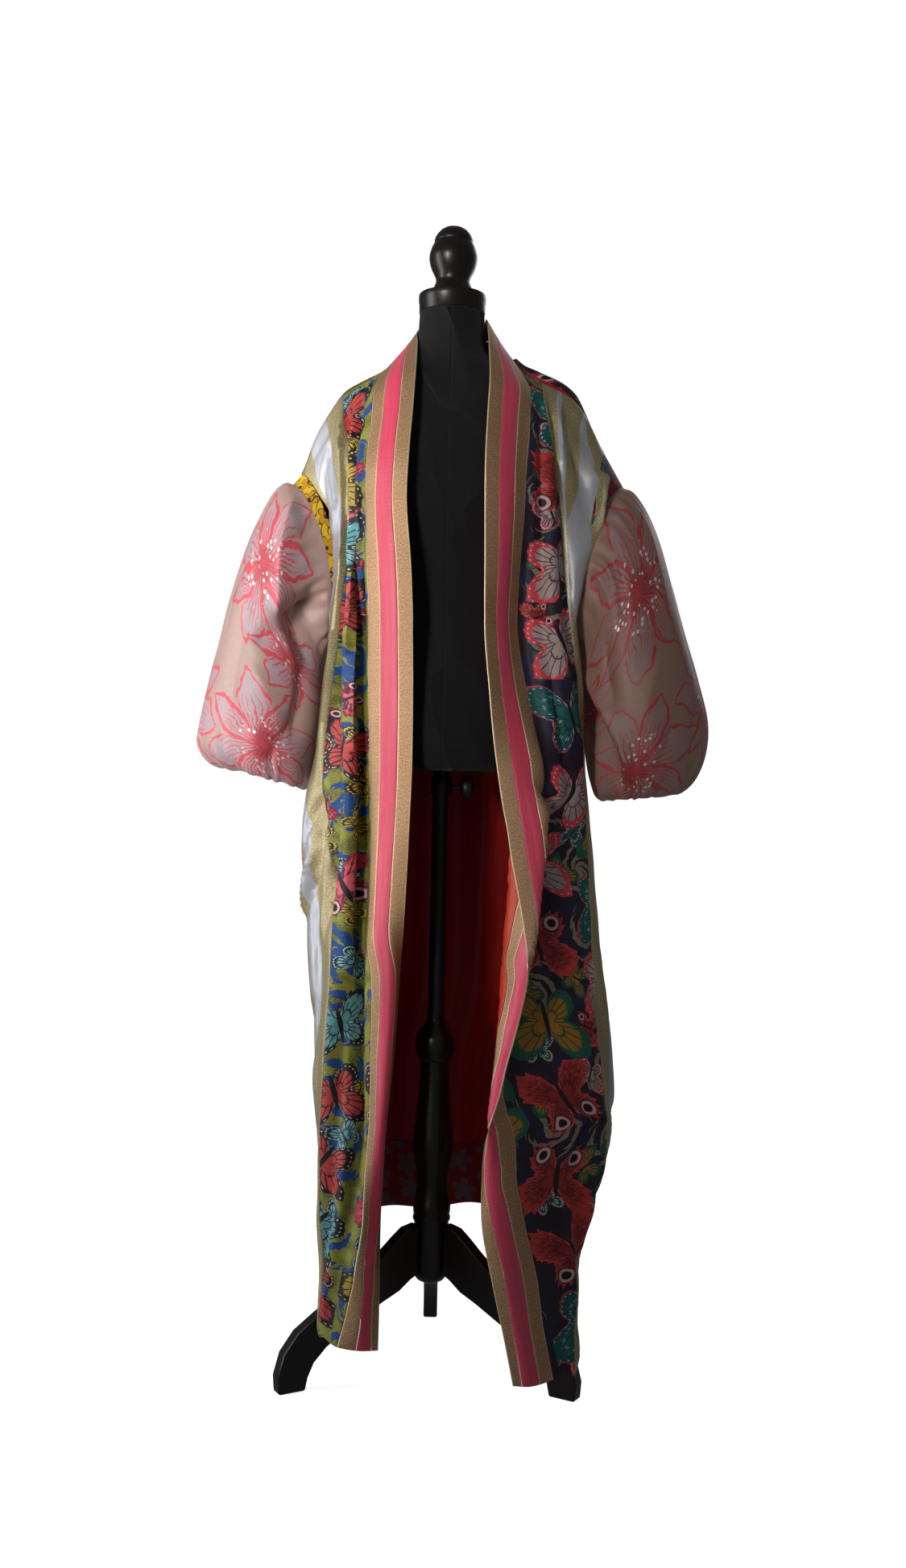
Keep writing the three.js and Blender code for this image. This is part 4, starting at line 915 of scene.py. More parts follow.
def blackSteel():
    f = Finish("blackSteel", Metallic=0.25, Specular_IOR_Level=0.5)
    speckle = f.noise(f.node("ShaderNodeTexCoord", out=3), 420)
    colour = f.mix(speckle, srgb(20, 20, 22), srgb(30, 30, 33))
    return f.paint(colour, roughness=0.3 + speckle * 0.18, height=speckle, depth=0.0002, strength=0.3)


finishes = {
    "olivePrint": printedCotton("olivePrint", olive),
    "navyPrint": printedCotton("navyPrint", navy),
    "stripedSatin": stripedSatin(),
    "goldBrocade": goldBrocade(),
    "pinkSatin": pinkSatin(),
    "redLining": liningSatin("redLining", (srgb(196, 26, 24), srgb(156, 14, 18))),
    # the red lining's painted lit copy: the same cloth, coloured orange as it looks in direct light
    "liningPaintedLit": liningSatin("liningPaintedLit", (srgb(232, 78, 40), srgb(206, 52, 28))),
    "hemPrint": flowerPrint("hemPrint"),
    "yellowPrint": flowerPrint("yellowPrint"),
    "redPrint": flowerPrint("redPrint"),
    "blushTaffeta_right": blushTaffeta("right"),
    "blushTaffeta_left": blushTaffeta("left"),
    "formCover": formCover(),
    "darkWood": darkWood(),
    "blackSteel": blackSteel(),
}
print("finishes made")

form = {
    "turns": 144,
    "rows": ((876, 1400, 132), (1403, 1548.7, 60)),  # from, to and number
    "sections": (  # z, half width, half depth
        (876, 126, 94), (884, 134, 101), (930, 140, 106), (1000, 134, 100), (1090, 116, 86), (1160, 128, 92),
        (1260, 146, 106), (1330, 154, 96), (1390, 157, 77), (1418, 150, 67), (1432, 139, 61), (1441, 127, 58),
        (1450, 111, 55), (1460, 93, 53), (1470, 75, 51.5), (1482, 60, 49), (1500, 51.5, 48), (1549, 47.5, 47.5),
    ),
}


def hardMesh(name, points, faces, material, sharpFrom=None):
    mesh = bpy.data.meshes.new(name)
    placed = (np.asarray(points) + np.array(garment["shift"])) / 1000
    mesh.from_pydata([tuple(p) for p in placed], [], faces)
    mesh.materials.append(material)
    return finishedPiece(name, mesh, sharpFrom)


def standsFor(piece, node):
    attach(piece, "root")
    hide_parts(node)
    return piece


def closedLoft(rings):  # faces of a closed skin over rings of points, with a fan at each end
    count, turns = len(rings), len(rings[0])
    faces = [
        (j * turns + k, j * turns + (k + 1) % turns, (j + 1) * turns + (k + 1) % turns, (j + 1) * turns + k)
        for j in range(count - 1)
        for k in range(turns)
    ]
    ends = [np.mean(rings[0], axis=0), np.mean(rings[-1], axis=0)]
    points = np.concatenate([*rings, ends])
    low, high = count * turns, count * turns + 1
    faces += [(low, (k + 1) % turns, k) for k in range(turns)]
    faces += [(high, low - turns + k, low - turns + (k + 1) % turns) for k in range(turns)]
    return points, faces


def ovalRing(angle, width, depth, height):  # points round the form's axis
    x = garment["formX"] + width * np.cos(angle)
    return np.stack([x, depth * np.sin(angle), np.full_like(angle, height)], axis=1)


def buildForm():
    keys = [row[0] for row in form["sections"]]
    z = np.concatenate([np.linspace(*span) for span in form["rows"]])
    half = between(keys, [row[1:] for row in form["sections"]], z)
    angle = np.linspace(0, 2 * np.pi, form["turns"], endpoint=False)
    points, faces = closedLoft([ovalRing(angle, *size, height) for height, size in zip(z, half)])
    return standsFor(hardMesh("form_cover", points, faces, finishes["formCover"]), "form_torso")


turnedParts = {  # radius and height along each profile
    "neck_cap": ("darkWood", [(0, 1549), (47.9, 1549), (48.5, 1549.6), (48.8, 1563.6), (49.6, 1565.4), (49.6, 1574.6), (49, 1576), (0, 1576)]),
    "finial": (
        "darkWood",
        [(0, 1576.3), (32.6, 1576.3), (33.5, 1577), (33.5, 1580), (31, 1583), (28.4, 1587), (27, 1591), (25.4, 1594), (25, 1597), (25.2, 1600),
         (26, 1603), (28.4, 1608), (31.5, 1614), (34.2, 1622), (35.6, 1630), (35.3, 1636), (34, 1641), (31.6, 1648), (28.9, 1652.6),
         (28.3, 1654), (28.3, 1656), (28.6, 1657.4), (26.8, 1662.6), (24, 1667), (19.4, 1672), (14, 1675.4), (7, 1677.5), (0, 1678)],
    ),
    "clamp_collar": ("blackSteel", [(12.9, 842), (14.6, 842), (15.4, 842.8), (15.4, 868.2), (14.6, 869), (12.9, 869), (12.9, 842)]),
    "post": ("blackSteel", [(0, 440.3), (12.5, 440.3), (12.5, 875.7), (0, 875.7)]),
    "stand_column": (
        "darkWood",
        [(0, 122), (11, 123), (19, 127), (25, 134), (25.5, 137), (25.5, 213), (26.4, 214), (27.6, 216), (27.6, 220), (26.5, 223), (27.3, 228),
         (27.6, 236), (26, 242), (24, 251), (22.6, 262), (22.2, 269), (22.4, 276), (24, 290), (26.4, 301), (28.5, 312), (29.8, 325),
         (29.6, 335), (28.5, 345), (26.6, 363), (24.5, 385), (22.7, 403), (21.6, 420), (21, 436), (21, 449), (22.6, 450), (24.5, 452),
         (27, 457), (28.6, 464), (29.5, 471), (29.4, 478), (28.8, 484), (27.5, 488), (23.4, 494), (19, 500), (15.8, 505), (14.2, 508),
         (13.8, 511), (12.9, 511), (12.9, 441), (0, 440.2)],
    ),
}
thumbScrew = {
    "profile": [
        (0, 0), (3.5, 0), (3.5, 12), (6, 12), (8, 12.5), (12, 13.6), (15, 15), (17, 17.4), (17.5, 20), (17.5, 27),
        (16.7, 29.4), (15, 31), (10, 31.8), (0, 32),
    ],
    "reach": 15.7,  # of its inner end from the post's axis
    "height": 852,
}


def turned(name, profile, finish, turns=96):
    profile = [p for p in profile if p[0] > 0] if profile[0][0] == 0 else profile
    angle = np.linspace(0, 2 * np.pi, turns, endpoint=False)
    rings = [ovalRing(angle, r, r, z) for r, z in profile]
    if profile[0] != profile[-1]:
        return hardMesh(name, *closedLoft(rings), finish, 50)
    count = len(rings) - 1  # a profile that closes on itself makes a ring with a bore
    corners = ((0, 0), (0, 1), (1, 1), (1, 0))
    faces = [
        tuple((j + dj) % count * turns + (k + dk) % turns for dj, dk in corners)
        for j in range(count)
        for k in range(turns)
    ]
    return hardMesh(name, np.concatenate(rings[:-1]), faces, finish, 50)


legs = {
    "directions": {"leg_right": 210, "leg_left": 330, "leg_rear": 90},
    "thick": 22,
    "bevel": 3.0,
    "top": [(25.9, 212), (46, 207), (62, 194), (83, 175), (132, 136), (184, 103), (215, 82), (236, 55), (245, 24), (243, 0)],
    "low": [(203, 0), (199, 18), (190, 37), (171, 56), (125, 84), (82, 107), (56, 119), (38, 133), (25.9, 140)],
}


def buildLeg(node, degrees):
    outline = legs["top"] + legs["low"]
    half = legs["thick"] / 2
    count = len(outline)
    points = [(r, side * half, z) for side in (-1, 1) for r, z in outline]
    faces = [tuple(range(count)), tuple(range(2 * count - 1, count - 1, -1))]
    faces += [(k, k + count, (k + 1) % count + count, (k + 1) % count) for k in range(count)]
    turn = np.array(Matrix.Rotation(math.radians(degrees), 3, "Z"))
    points = np.array(points) @ turn.T + (garment["formX"], 0, 0)
    piece = hardMesh(node + "_wood", points, faces, finishes["darkWood"], 35)
    bevel = piece.modifiers.new("edges", "BEVEL")
    bevel.width, bevel.segments = legs["bevel"] / 1000, 3
    bevel.limit_method, bevel.angle_limit = "ANGLE", math.radians(40)
    return standsFor(piece, node)


formPiece = buildForm()
formPoints = [(np.array(v.co) * 1000 - np.array(garment["shift"])) for v in formPiece.data.vertices]
formTree = BVHTree.FromPolygons(formPoints, [tuple(p.vertices) for p in formPiece.data.polygons])
for partName, (finishName, profile) in turnedParts.items():
    standsFor(turned(partName + "_turned", profile, finishes[finishName]), partName)
knob = turned("thumb_knob", thumbScrew["profile"], finishes["blackSteel"], 48)
axis = Vector((garment["formX"] + garment["shift"][0], garment["shift"][1], 0))
knobPlace = Matrix.Translation((axis + Vector((thumbScrew["reach"], 0, thumbScrew["height"]))) / 1000)
knob.data.transform(knobPlace @ Matrix.Rotation(math.radians(90), 4, "Y") @ Matrix.Translation(-axis / 1000))
standsFor(knob, "thumb_screw")
for legName, degrees in legs["directions"].items():
    buildLeg(legName, degrees)
print("form and stand built")

fronts = {
    "right": {
        "sign": 1, "print": "olivePrint", "slack": 1.2, "seed": 3, "lip": (1300, 1060, 36, 31, 8),
        "seamFolds": ((1480, 860, -6, -8, 5, -11, 0), (1480, 840, 7, 8, 7, 9, 0), (1230, 1000, 24, 32, 6, -6, 0), (1440, 1260, 45, 20, 9, -6, 4),
                      (900, 620, 36, 38, 22, 5, 0), (820, 700, 8, 50, 6, -3, 0), (740, 640, 4, 46, 6, -3, 0)),
        "folds": (  # row label at the top and at the low end, place across at each, width, height, bow
            (1470, 1080, 90, 96, 6, -10, 2), (1420, 1000, 105, 110, 8, 8, 0), (1440, 1030, 119, 126, 6, -13, -2), (1150, 560, 97, 92, 7, -14, 0),
            (1120, 520, 112, 116, 13, 9, 3), (1100, 620, 132, 147, 8, -15, 6), (760, 80, 140, 128, 12, 7, 6), (640, 30, 118, 104, 9, -8, 4),
            (480, 0, 92, 88, 8, 5, 2), (900, 420, 168, 176, 9, -9, 6), (840, 690, 178, 232, 6, -9, 5), (790, 650, 172, 240, 7, 8, -6),
            (720, 600, 176, 236, 5, -9, 4), (560, 300, 196, 222, 9, -9, 6), (520, 60, 172, 168, 12, 8, 4), (1440, 1180, 176, 168, 9, -6, 2),
            (1300, 1080, 190, 184, 9, 6, 2), (420, 20, 216, 206, 12, 7, -4),
        ),
    },
    "left": {
        "sign": -1, "print": "navyPrint", "slack": 1.2, "seed": 8, "lip": (1370, 1150, 30, 20, 6),
        "seamFolds": ((1480, 1330, 30, 12, 7, 5, 0), (1470, 1280, 14, 4, 6, -6, 0), (1440, 1100, 80, 12, 9, 7, 0), (1420, 1220, 52, 30, 8, -6, 0)),
        "folds": (
            (1460, 840, 84, 112, 7, -8, 6), (1420, 900, 72, 94, 8, 4, 5), (1380, 960, 104, 138, 11, 5, 3), (1300, 900, 124, 166, 9, -7, 4),
            (900, 610, 118, 150, 10, -6, 4), (470, 90, 146, 118, 12, 7, 5), (460, 80, 168, 136, 9, -8, 5), (340, 0, 112, 100, 9, -5, 4),
            (240, 0, 150, 156, 10, 5, 0), (1460, 1160, 176, 172, 10, -5, 3), (1400, 1120, 200, 196, 9, 5, 3), (760, 300, 216, 224, 12, -6, 6),
            (640, 180, 248, 240, 12, 6, 6), (420, 60, 204, 190, 9, -5, 4),
        ),
    },
}
seamDip = {"depths": (0.55, 0.12), "hem": 0.5}  # how far a piece sinks at its edges, outermost point first
calm = {"edge": 90, "lip": 60}  # over how much of the cloth the slack and a lip's ends fade
frontLining = {"top": 985, "low": 75, "inset": 0.6}


def dipAtEdges(shape):
    dips = np.zeros(shape)
    for k, depth in enumerate(seamDip["depths"]):
        dips[:, k] = np.maximum(dips[:, k], depth)
        dips[:, -1 - k] = np.maximum(dips[:, -1 - k], depth)
    dips[-1] = np.maximum(dips[-1], seamDip["hem"])
    return dips


# Outer and inner face of a wall whose outer side lies depth inside the points.
def wallFaces(points, across, along, sign, thick, depth=0.0):
    normal = unit(np.cross(across, along)) * sign
    dips = dipAtEdges(points.shape[:2])[..., None]
    return points - normal * (depth + dips), points - normal * (depth + thick - dips * 0.4)


def downLength(points):  # height of each row above the lowest one, measured along the cloth
    steps = np.linalg.norm(np.diff(points, axis=0), axis=-1).mean(axis=1)
    return np.concatenate([np.cumsum(steps[::-1])[::-1], [0]])


def uvGrids(points, s, zero):
    height = np.repeat(downLength(points)[:, None], s.shape[1], axis=1)
    uv = np.stack([s - zero, height], axis=-1) / 1000
    seams = np.stack([s - s[:, :1], s[:, -1:] - s], axis=-1) / 1000
    return uv, seams


# Points, their directions and lengths across, for one piece of a front between two lengths from the edge.
def frontSheet(side, labels, rows, start, end, gap):
    cut = fronts[side]
    s = columnsBetween(start, end)
    points = rows.at(s)
    across = rows.at(s + garment["slope"]) - rows.at(s - garment["slope"])
    along = np.gradient(points, axis=0)
    if labels[0] == garment["neckTop"]:
        along[0] = (-cut["sign"], 0, 0)
    normal = unit(np.cross(across, along)) * cut["sign"]
    height = foldHeights(cut["folds"], s, labels)
    height += foldHeights(cut["seamFolds"], s - rows.printSeam[:, None], labels)
    height += unevenness(s, labels, cut["seed"], cut["slack"]) * softSteps(s, 0, calm["edge"])
    points = clearOf(formTree, points + normal * height[..., None], gap)
    high, low, width, reach, lift = cut["lip"]  # a slack edge that lies over the armhole band
    slack = softSteps(labels, low, low + calm["lip"]) * (1 - softSteps(labels, high - calm["lip"], high))
    share = softSteps(rows.total[:, None] - s, width, 0) * slack[:, None]
    points = points + (unit(across) * reach + normal * lift) * share[..., None]
    return points, across, along, s


stripeEdges = {  # row label, then how far from the print seam the first, second, third and fourth stripe end
    "right": [
        (1500, 42, 92, 130, 160), (1480, 41, 92, 128, 158), (1404, 38, 80, 105, 130), (1376, 30, 73, 95, 120), (1304, 14, 56, 75, 100),
        (1276, 11, 49, 66, 90), (1248, 9, 32, 50, 80), (1222, 9, 24, 46, 76), (1192, 10, 32, 52, 80), (1150, 12, 42, 70, 99),
        (1000, 29, 58, 87, 116), (762, 29, 58, 87, 116), (722, 39, 68, 97, 126), (640, 38, 67, 96, 125), (540, 29, 58, 87, 116),
        (0, 29, 58, 87, 116),
    ],
    "left": [
        (1500, 26, 34, 80, 83), (1466, 23.5, 31, 72, 84), (1430, 20, 33, 66, 86), (1395, 14.5, 32, 58, 80), (1312, 8, 12, 35, 52),
        (1244, 6, 7, 9, 30), (1182, 4, 5, 6.2, 23), (1138, 2, 3, 4, 20.5), (1060, -3, -2, 10, 35), (1000, -3, -2, 29, 58), (0, -3, -2, 29, 58),
    ],
}


# How many stripes lie between the print seam and each point, in the pattern layer.
def stripeCounts(side, labels, offset):
    table = np.array(stripeEdges[side], float)[::-1]
    edges = np.stack([np.interp(labels, table[:, 0], table[:, k]) for k in range(1, 5)], axis=1)
    wide, last = stripes["width"], edges[:, -1:]
    edges = np.concatenate([edges[:, :1] - wide, edges, last + wide, last + 2 * wide], axis=1)
    counts = np.stack([np.interp(offset[r], edges[r], np.arange(7)) for r in range(len(labels))])
    return np.stack([counts, np.zeros_like(counts)], axis=-1)


def buildFront(side):
    cut = fronts[side]
    sign, gap = cut["sign"], thickness["seam"] / 2
    labels = labelsFrom(garment["neckTop"], 0)
    rows, reach = Rows(turningPoints(side, labels)), seamsOf(side, labels)
    strips = (("band_edge_", "goldBrocade"), ("band_pink_", "pinkSatin"), ("band_outer_", "goldBrocade"))
    for k, (nodeName, finish) in enumerate(strips):
        start, end = reach[:, k] + (gap if k else 0), reach[:, k + 1] - gap
        clear = thickness["band"] + garment["clearance"]
        points, across, along, s = frontSheet(side, labels, rows, start, end, clear)
        outer, inner = wallFaces(points, across, along, sign, thickness["band"])
        uv, seams = uvGrids(points, s, reach[:, k : k + 1])
        piece = clothMesh(f"{nodeName}{side}_cloth", outer, inner, uv, seams)
        wear(piece, nodeName + side, finishes[finish], finishes[finish], flat=flatSize(points))
    labels = labelsFrom(garment["shoulder"], 0)
    rows, clear = Rows(turningPoints(side, labels)), thickness["cloth"] + garment["clearance"]
    start, middle = seamsOf(side, labels)[:, 3] + gap, rows.printSeam
    panels = (  # outer and inner finish, first and last length across, zero of the cloth's layer
        ("print_panel_", cut["print"], "redLining", start, middle - gap, garment["bandWidth"]),
        ("stripe_panel_", "stripedSatin", "stripedSatin", middle + gap, rows.total - gap, middle[:, None]),
    )
    for nodeName, finish, backing, start, end, zero in panels:
        points, across, along, s = frontSheet(side, labels, rows, start, end, clear)
        outer, inner = wallFaces(points, across, along, sign, thickness["cloth"])
        uv, seams = uvGrids(points, s, zero)
        pattern = stripeCounts(side, labels, s - middle[:, None])
        piece = clothMesh(f"{nodeName}{side}_cloth", outer, inner, uv, seams, pattern=pattern)
        wear(piece, nodeName + side, finishes[finish], finishes[backing], flat=flatSize(points))
    if side == "left":
        labels = labelsFrom(frontLining["top"], frontLining["low"])
        rows = Rows(turningPoints(side, labels))
        start, end = seamsOf(side, labels)[:, 3] + gap + frontLining["inset"], rows.printSeam - gap
        points, across, along, s = frontSheet(side, labels, rows, start, end, clear)
        depth = thickness["cloth"] + thickness["seam"]
        outer, inner = wallFaces(points, across, along, sign, thickness["lining"], depth)
        uv, seams = uvGrids(points, s, garment["bandWidth"])
        piece = clothMesh("lining_left_cloth", outer, inner, uv, seams)
        # the front-left lining wears the red lining's painted lit copy
        paintedLitLining = finishes["liningPaintedLit"]
        wear(piece, "lining_left", paintedLitLining, paintedLitLining, flat=flatSize(points))


back = {
    "columns": 16,  # of the cut: shoulder, neck, shoulder
    "shoulder": 5,
    "neck": 6,
    "fine": 6,  # points to each column
    "shoulderEnd": 76,  # length from the front edge at which the shoulder seam meets the neck seam
    "slope": 6,  # length over which the fronts' direction is taken at that seam
    "join": 1.2,
    "bend": 1450,  # row label above which the cloth runs up to the shoulder and neck seams
    "foldsBelow": 1440,
    "calm": (4, 40),  # lengths from the side seams between which the folds grow
    "rise": (7, 7, 7, 7, 7, 6, 3, 0, 0, 0, 8, 20, 25, 27, 27, 26, 26),  # how far it stands over each shoulder
    "liningTop": 1422,
    "hemBandTop": 154,
    "folds": (
        (1380, 0, 92, 104, 20, -9, 8), (1300, 0, 140, 150, 22, 8, -8), (1420, 60, 190, 205, 18, -9, 10), (1260, 0, 240, 252, 20, 9, 6),
        (1400, 0, 292, 300, 16, -8, -6), (1180, 0, 338, 346, 20, 8, 6), (1420, 0, 388, 380, 18, -9, 8), (1240, 0, 430, 428, 22, 9, -6),
        (1360, 40, 486, 470, 18, -9, 8), (1150, 0, 534, 522, 22, 7, 6), (1300, 0, 588, 574, 18, -7, 4),
    ),
    "slack": 1.6,
}


# Points and directions of the back's upper edge; place runs from the right armhole, 0, to the left one.
def backTopSeam(place):
    shoulder, neck = back["shoulder"], back["neck"]
    points, along, across = (np.zeros((len(place), 3)) for _ in range(3))
    for side, toNeck in (("right", -1), ("left", 1)):
        far = place if side == "right" else back["columns"] - place
        pick = far <= shoulder
        pair = Rows(turningPoints(side, garment["shoulder"] - np.array([0.0, back["slope"]])))
        s = pair.total[0] + (back["shoulderEnd"] - pair.total[0]) * far[pick] / shoulder
        top, below = pair.at(np.stack([s, np.minimum(s, pair.total[1])]))
        points[pick], along[pick] = top, unit(top - below)
        after, before = (pair.at(np.stack([s + d, s + d]))[0] for d in (garment["slope"], -garment["slope"]))
        across[pick] = (after - before) * toNeck
        pick = (far > shoulder) & (far <= shoulder + neck / 2)
        t = (far[pick] - shoulder) / neck
        labels = garment["shoulder"] + 2 * (garment["neckTop"] - garment["shoulder"]) * t
        widening = back["shoulderEnd"] - garment["bandWidth"]
        seam = garment["bandWidth"] + widening * np.maximum(0, 1 - t * neck)
        rows = Rows(turningPoints(side, labels))
        at = rows.at(np.stack([seam, seam - back["slope"] / 2], axis=1))
        points[pick], along[pick] = at[:, 0], unit(at[:, 0] - at[:, 1])
    order = np.gradient(points, axis=0)
    across[np.linalg.norm(across, axis=1) == 0] = order[np.linalg.norm(across, axis=1) == 0]
    return points + along * back["join"], unit(across), along


# Points at even lengths between the side seams, one row a label, for labels from the bend down.
def backCurve(labels):
    ends = []
    for side in ("right", "left"):
        seam = turningPoints(side, labels)[:, 7]
        open_ = labels >= garment["underarm"]
        seam[open_] = around(armholes[side], 360 - armholeAngle(side, labels[open_]))
        ends.append(seam)
    middle = [[(p[0], p[1], p[2] if len(p) > 2 else row[1]) for p in row[2:]] for row in backRows]
    inner = between([row[0] for row in backRows], middle, labels)
    rows = Rows(np.concatenate([ends[0][:, None], inner, ends[1][:, None]], axis=1))
    share = np.linspace(0, 1, back["columns"] * back["fine"] + 1)[None]
    return rows.at(rows.total[:, None] * share)


def buildBack():
    columns = back["columns"]
    place = np.linspace(0, columns, columns * back["fine"] + 1)
    topPoints, topAcross, topAlong = backTopSeam(place)
    topPoints = clearOf(formTree, topPoints, thickness["cloth"] + garment["clearance"])
    labels = labelsFrom(garment["shoulder"], 0)
    lowPoints = backCurve(labels[labels <= back["bend"]])
    high = labels[labels > back["bend"]]
    t = ((garment["shoulder"] - high) / (garment["shoulder"] - back["bend"]))[:, None, None]
    rise = np.interp(place, np.arange(columns + 1), back["rise"])
    rise = rise * np.minimum(1, np.minimum(place, columns - place) / 2)
    swell = np.array((0, 0.2, 1)) * rise[None, :, None] * np.sin(np.pi * t**0.6)
    highPoints = topPoints * (1 - t) + lowPoints[0] * t + swell
    for side, far in (("right", place), ("left", columns - place)):
        hole = around(armholes[side], 360 - armholeAngle(side, high))[:, None]
        share = np.clip(1 - far, 0, 1)[None, :, None]
        highPoints = highPoints * (1 - share) + hole * share
    highPoints[0] = topPoints
    points = np.concatenate([highPoints, lowPoints])
    across, along = np.gradient(points, axis=1), np.gradient(points, axis=0)
    along[0], across[0] = -topAlong, topAcross
    s = lengthsAcross(points)
    inside = np.minimum(s, s[:, -1:] - s)
    height = foldHeights(back["folds"], s, labels) + unevenness(s, labels, 21, back["slack"])
    height *= softSteps(inside, *back["calm"])
    height *= softSteps(labels, garment["shoulder"], back["foldsBelow"])[:, None]
    normal = unit(np.cross(across, along))
    points = points + normal * height[..., None]
    lined = thickness["cloth"] + thickness["seam"] + thickness["lining"] + garment["clearance"]
    points[1:] = clearOf(formTree, points[1:], lined)
    outer, inner = wallFaces(points, across, along, 1, thickness["cloth"])
    uv, seams = uvGrids(points, s, 0)
    piece = clothMesh("back_panel_cloth", outer, inner, uv, seams)
    wear(piece, "back_panel", finishes["navyPrint"], finishes["redLining"], flat=flatSize(points))
    linings = (
        ("back_lining", "redLining", back["liningTop"], back["hemBandTop"] + 0.5),
        ("back_hem_band", "hemPrint", back["hemBandTop"] - 0.5, 0),
    )
    edge = back["fine"] // 2
    for nodeName, finish, high, low in linings:
        rows = np.where((labels <= high) & (labels >= low))[0]
        part = (slice(rows[0], rows[-1] + 1), slice(edge, -edge))
        depth = thickness["cloth"] + thickness["seam"]
        outer, inner = wallFaces(points[part], across[part], along[part], 1, thickness["lining"], depth)
        uv, seams = uvGrids(points[part], s[part], 0)
        piece = clothMesh(nodeName + "_cloth", outer, inner, uv, seams)
        look = finishes[finish]
        wear(piece, nodeName, look, look, flat=flatSize(points[part]))


sleeves = {
    "columns": 220,
    "rowsPerRing": 12,
    "gatherRings": 6,  # how far up from the cuff the gathers of the solid reach
    "right": {
        "sign": -1, "band": "yellowPrint", "phase": 0.0,
        "creases": (  # around and up at one end and at the other, width, height: millimetres of cloth
            (340, 392, 428, 288, 7, 18, 3.8), (462, 398, 422, 292, 9, -42, 4.5), (436, 300, 392, 235, 10, -6), (470, 320, 476, 120, 10, -10, 2),
            (405, 205, 452, 130, 18, 4), (330, 150, 372, 78, 14, -4), (390, 140, 402, 66, 10, -4), (300, 330, 318, 180, 20, -4),
            (476, 190, 430, 70, 10, -5), (230, 320, 250, 160, 18, -5), (150, 340, 130, 130, 20, -5), (60, 300, 80, 120, 18, -6),
        ),
    },
    "left": {
        "sign": 1, "band": "redPrint", "phase": 1.0,
        "creases": (
            (556, 400, 450, 55, 10, 8), (572, 372, 467, 58, 9, -34, 3.2), (352, 372, 372, 250, 16, 5), (430, 400, 450, 300, 8, -4),
            (400, 230, 436, 150, 20, 4), (395, 150, 418, 62, 10, -4), (350, 160, 360, 80, 14, -4), (300, 330, 312, 150, 20, -4),
            (486, 330, 480, 210, 9, -4), (210, 320, 235, 150, 18, -5), (130, 330, 110, 140, 20, -5), (50, 290, 70, 120, 18, -6),
        ),
    },
}
gathers = {"depth": 3.2, "waves": 9}
armholeSeam = {  # gaps at the body, the addition there underneath, and at the sleeve
    "body": 0.6,
    "under": 2.6,
    "sleeve": 0.4,
    "rows": 7,
}
pleats = {  # small folds where the cloth is drawn in: at the armhole and at the cuff
    "armhole": {"waves": 31, "depth": 2.2, "reach": 70},
    "cuff": {"waves": 17, "depth": 1.9, "from": 52, "to": 140},
}


def sleevePoints(side, t, degrees):
    rings = sleeveRings[side]
    at = between(np.arange(len(rings)), rings, t)  # row, point of the ring, axis
    return around([at[:, k][:, None] for k in range(4)], degrees[None, :])


def roundTube(points, sign):  # the direction across at each point, and the one out of the cloth
    across = np.roll(points, -1, axis=1) - np.roll(points, 1, axis=1)
    return across, unit(np.cross(across, np.gradient(points, axis=0))) * sign


def tubeGrids(points, u):
    uv = np.stack(np.meshgrid(u, downLength(points)), axis=-1) / 1000
    return uv, np.stack([uv[..., 1].max() - uv[..., 1], uv[..., 1]], axis=-1)


def buildSleeve(side):
    cut = sleeves[side]
    last = len(sleeveRings[side]) - 1
    degrees = np.linspace(-180, 180, sleeves["columns"], endpoint=False)  # from the inner side round the back
    t = np.linspace(0, last, last * sleeves["rowsPerRing"] + 1)
    points = sleevePoints(side, t, degrees)
    middle = points.mean(axis=1, keepdims=True)
    out = points - middle
    out[..., 2] = 0
    out = unit(out)
    low = np.clip((t - last + sleeves["gatherRings"]) / 4, 0, 1)[:, None]
    wave = np.sin(np.radians(degrees[None]) * gathers["waves"] + cut["phase"])
    points = points + out * (gathers["depth"] * low * (wave - 0.5))[..., None]
    across, normal = roundTube(points, cut["sign"])
    girth = np.linalg.norm(across, axis=-1).sum(axis=1)[last * sleeves["rowsPerRing"] // 2] / 2
    u = np.linspace(0, girth, sleeves["columns"] + 1)
    up = downLength(points)
    height = creaseHeights(cut["creases"], u[:-1], up) + pleatHeights(u[:-1], up, cut["phase"])
    points = points + normal * height[..., None]
    inner = points - normal * thickness["cloth"]
    piece = clothMesh(f"sleeve_{side}_cloth", points, inner, *tubeGrids(points, u), closed=True)
    flat, onBand = flatSize(points, closed=True), ("armhole_band_" + side,)
    taffeta = finishes["blushTaffeta_" + side]
    wear(piece, "sleeve_" + side, taffeta, taffeta, flat=flat)
    a, b = around(armholes[side], degrees), sleevePoints(side, np.array([0.0]), degrees)[0]
    under = np.sin(np.radians(degrees) / 2) ** 2
    reach = np.linalg.norm(b - a, axis=-1)
    start = (armholeSeam["body"] + armholeSeam["under"] * under) / reach
    end = 1 - armholeSeam["sleeve"] / reach
    share = start + (end - start) * np.linspace(0, 1, armholeSeam["rows"])[:, None]
    points = a + (b - a) * share[..., None]
    inner = points - roundTube(points, cut["sign"])[1] * thickness["cloth"]
    piece = clothMesh(f"armhole_band_{side}_cloth", points, inner, *tubeGrids(points, u), closed=True)
    flat, onPanel = flatSize(points, closed=True), ("stripe_panel_" + side,)
    outside, inside = finishes[cut["band"]], finishes["redLining"]
    wear(piece, "armhole_band_" + side, outside, inside, flat=flat)


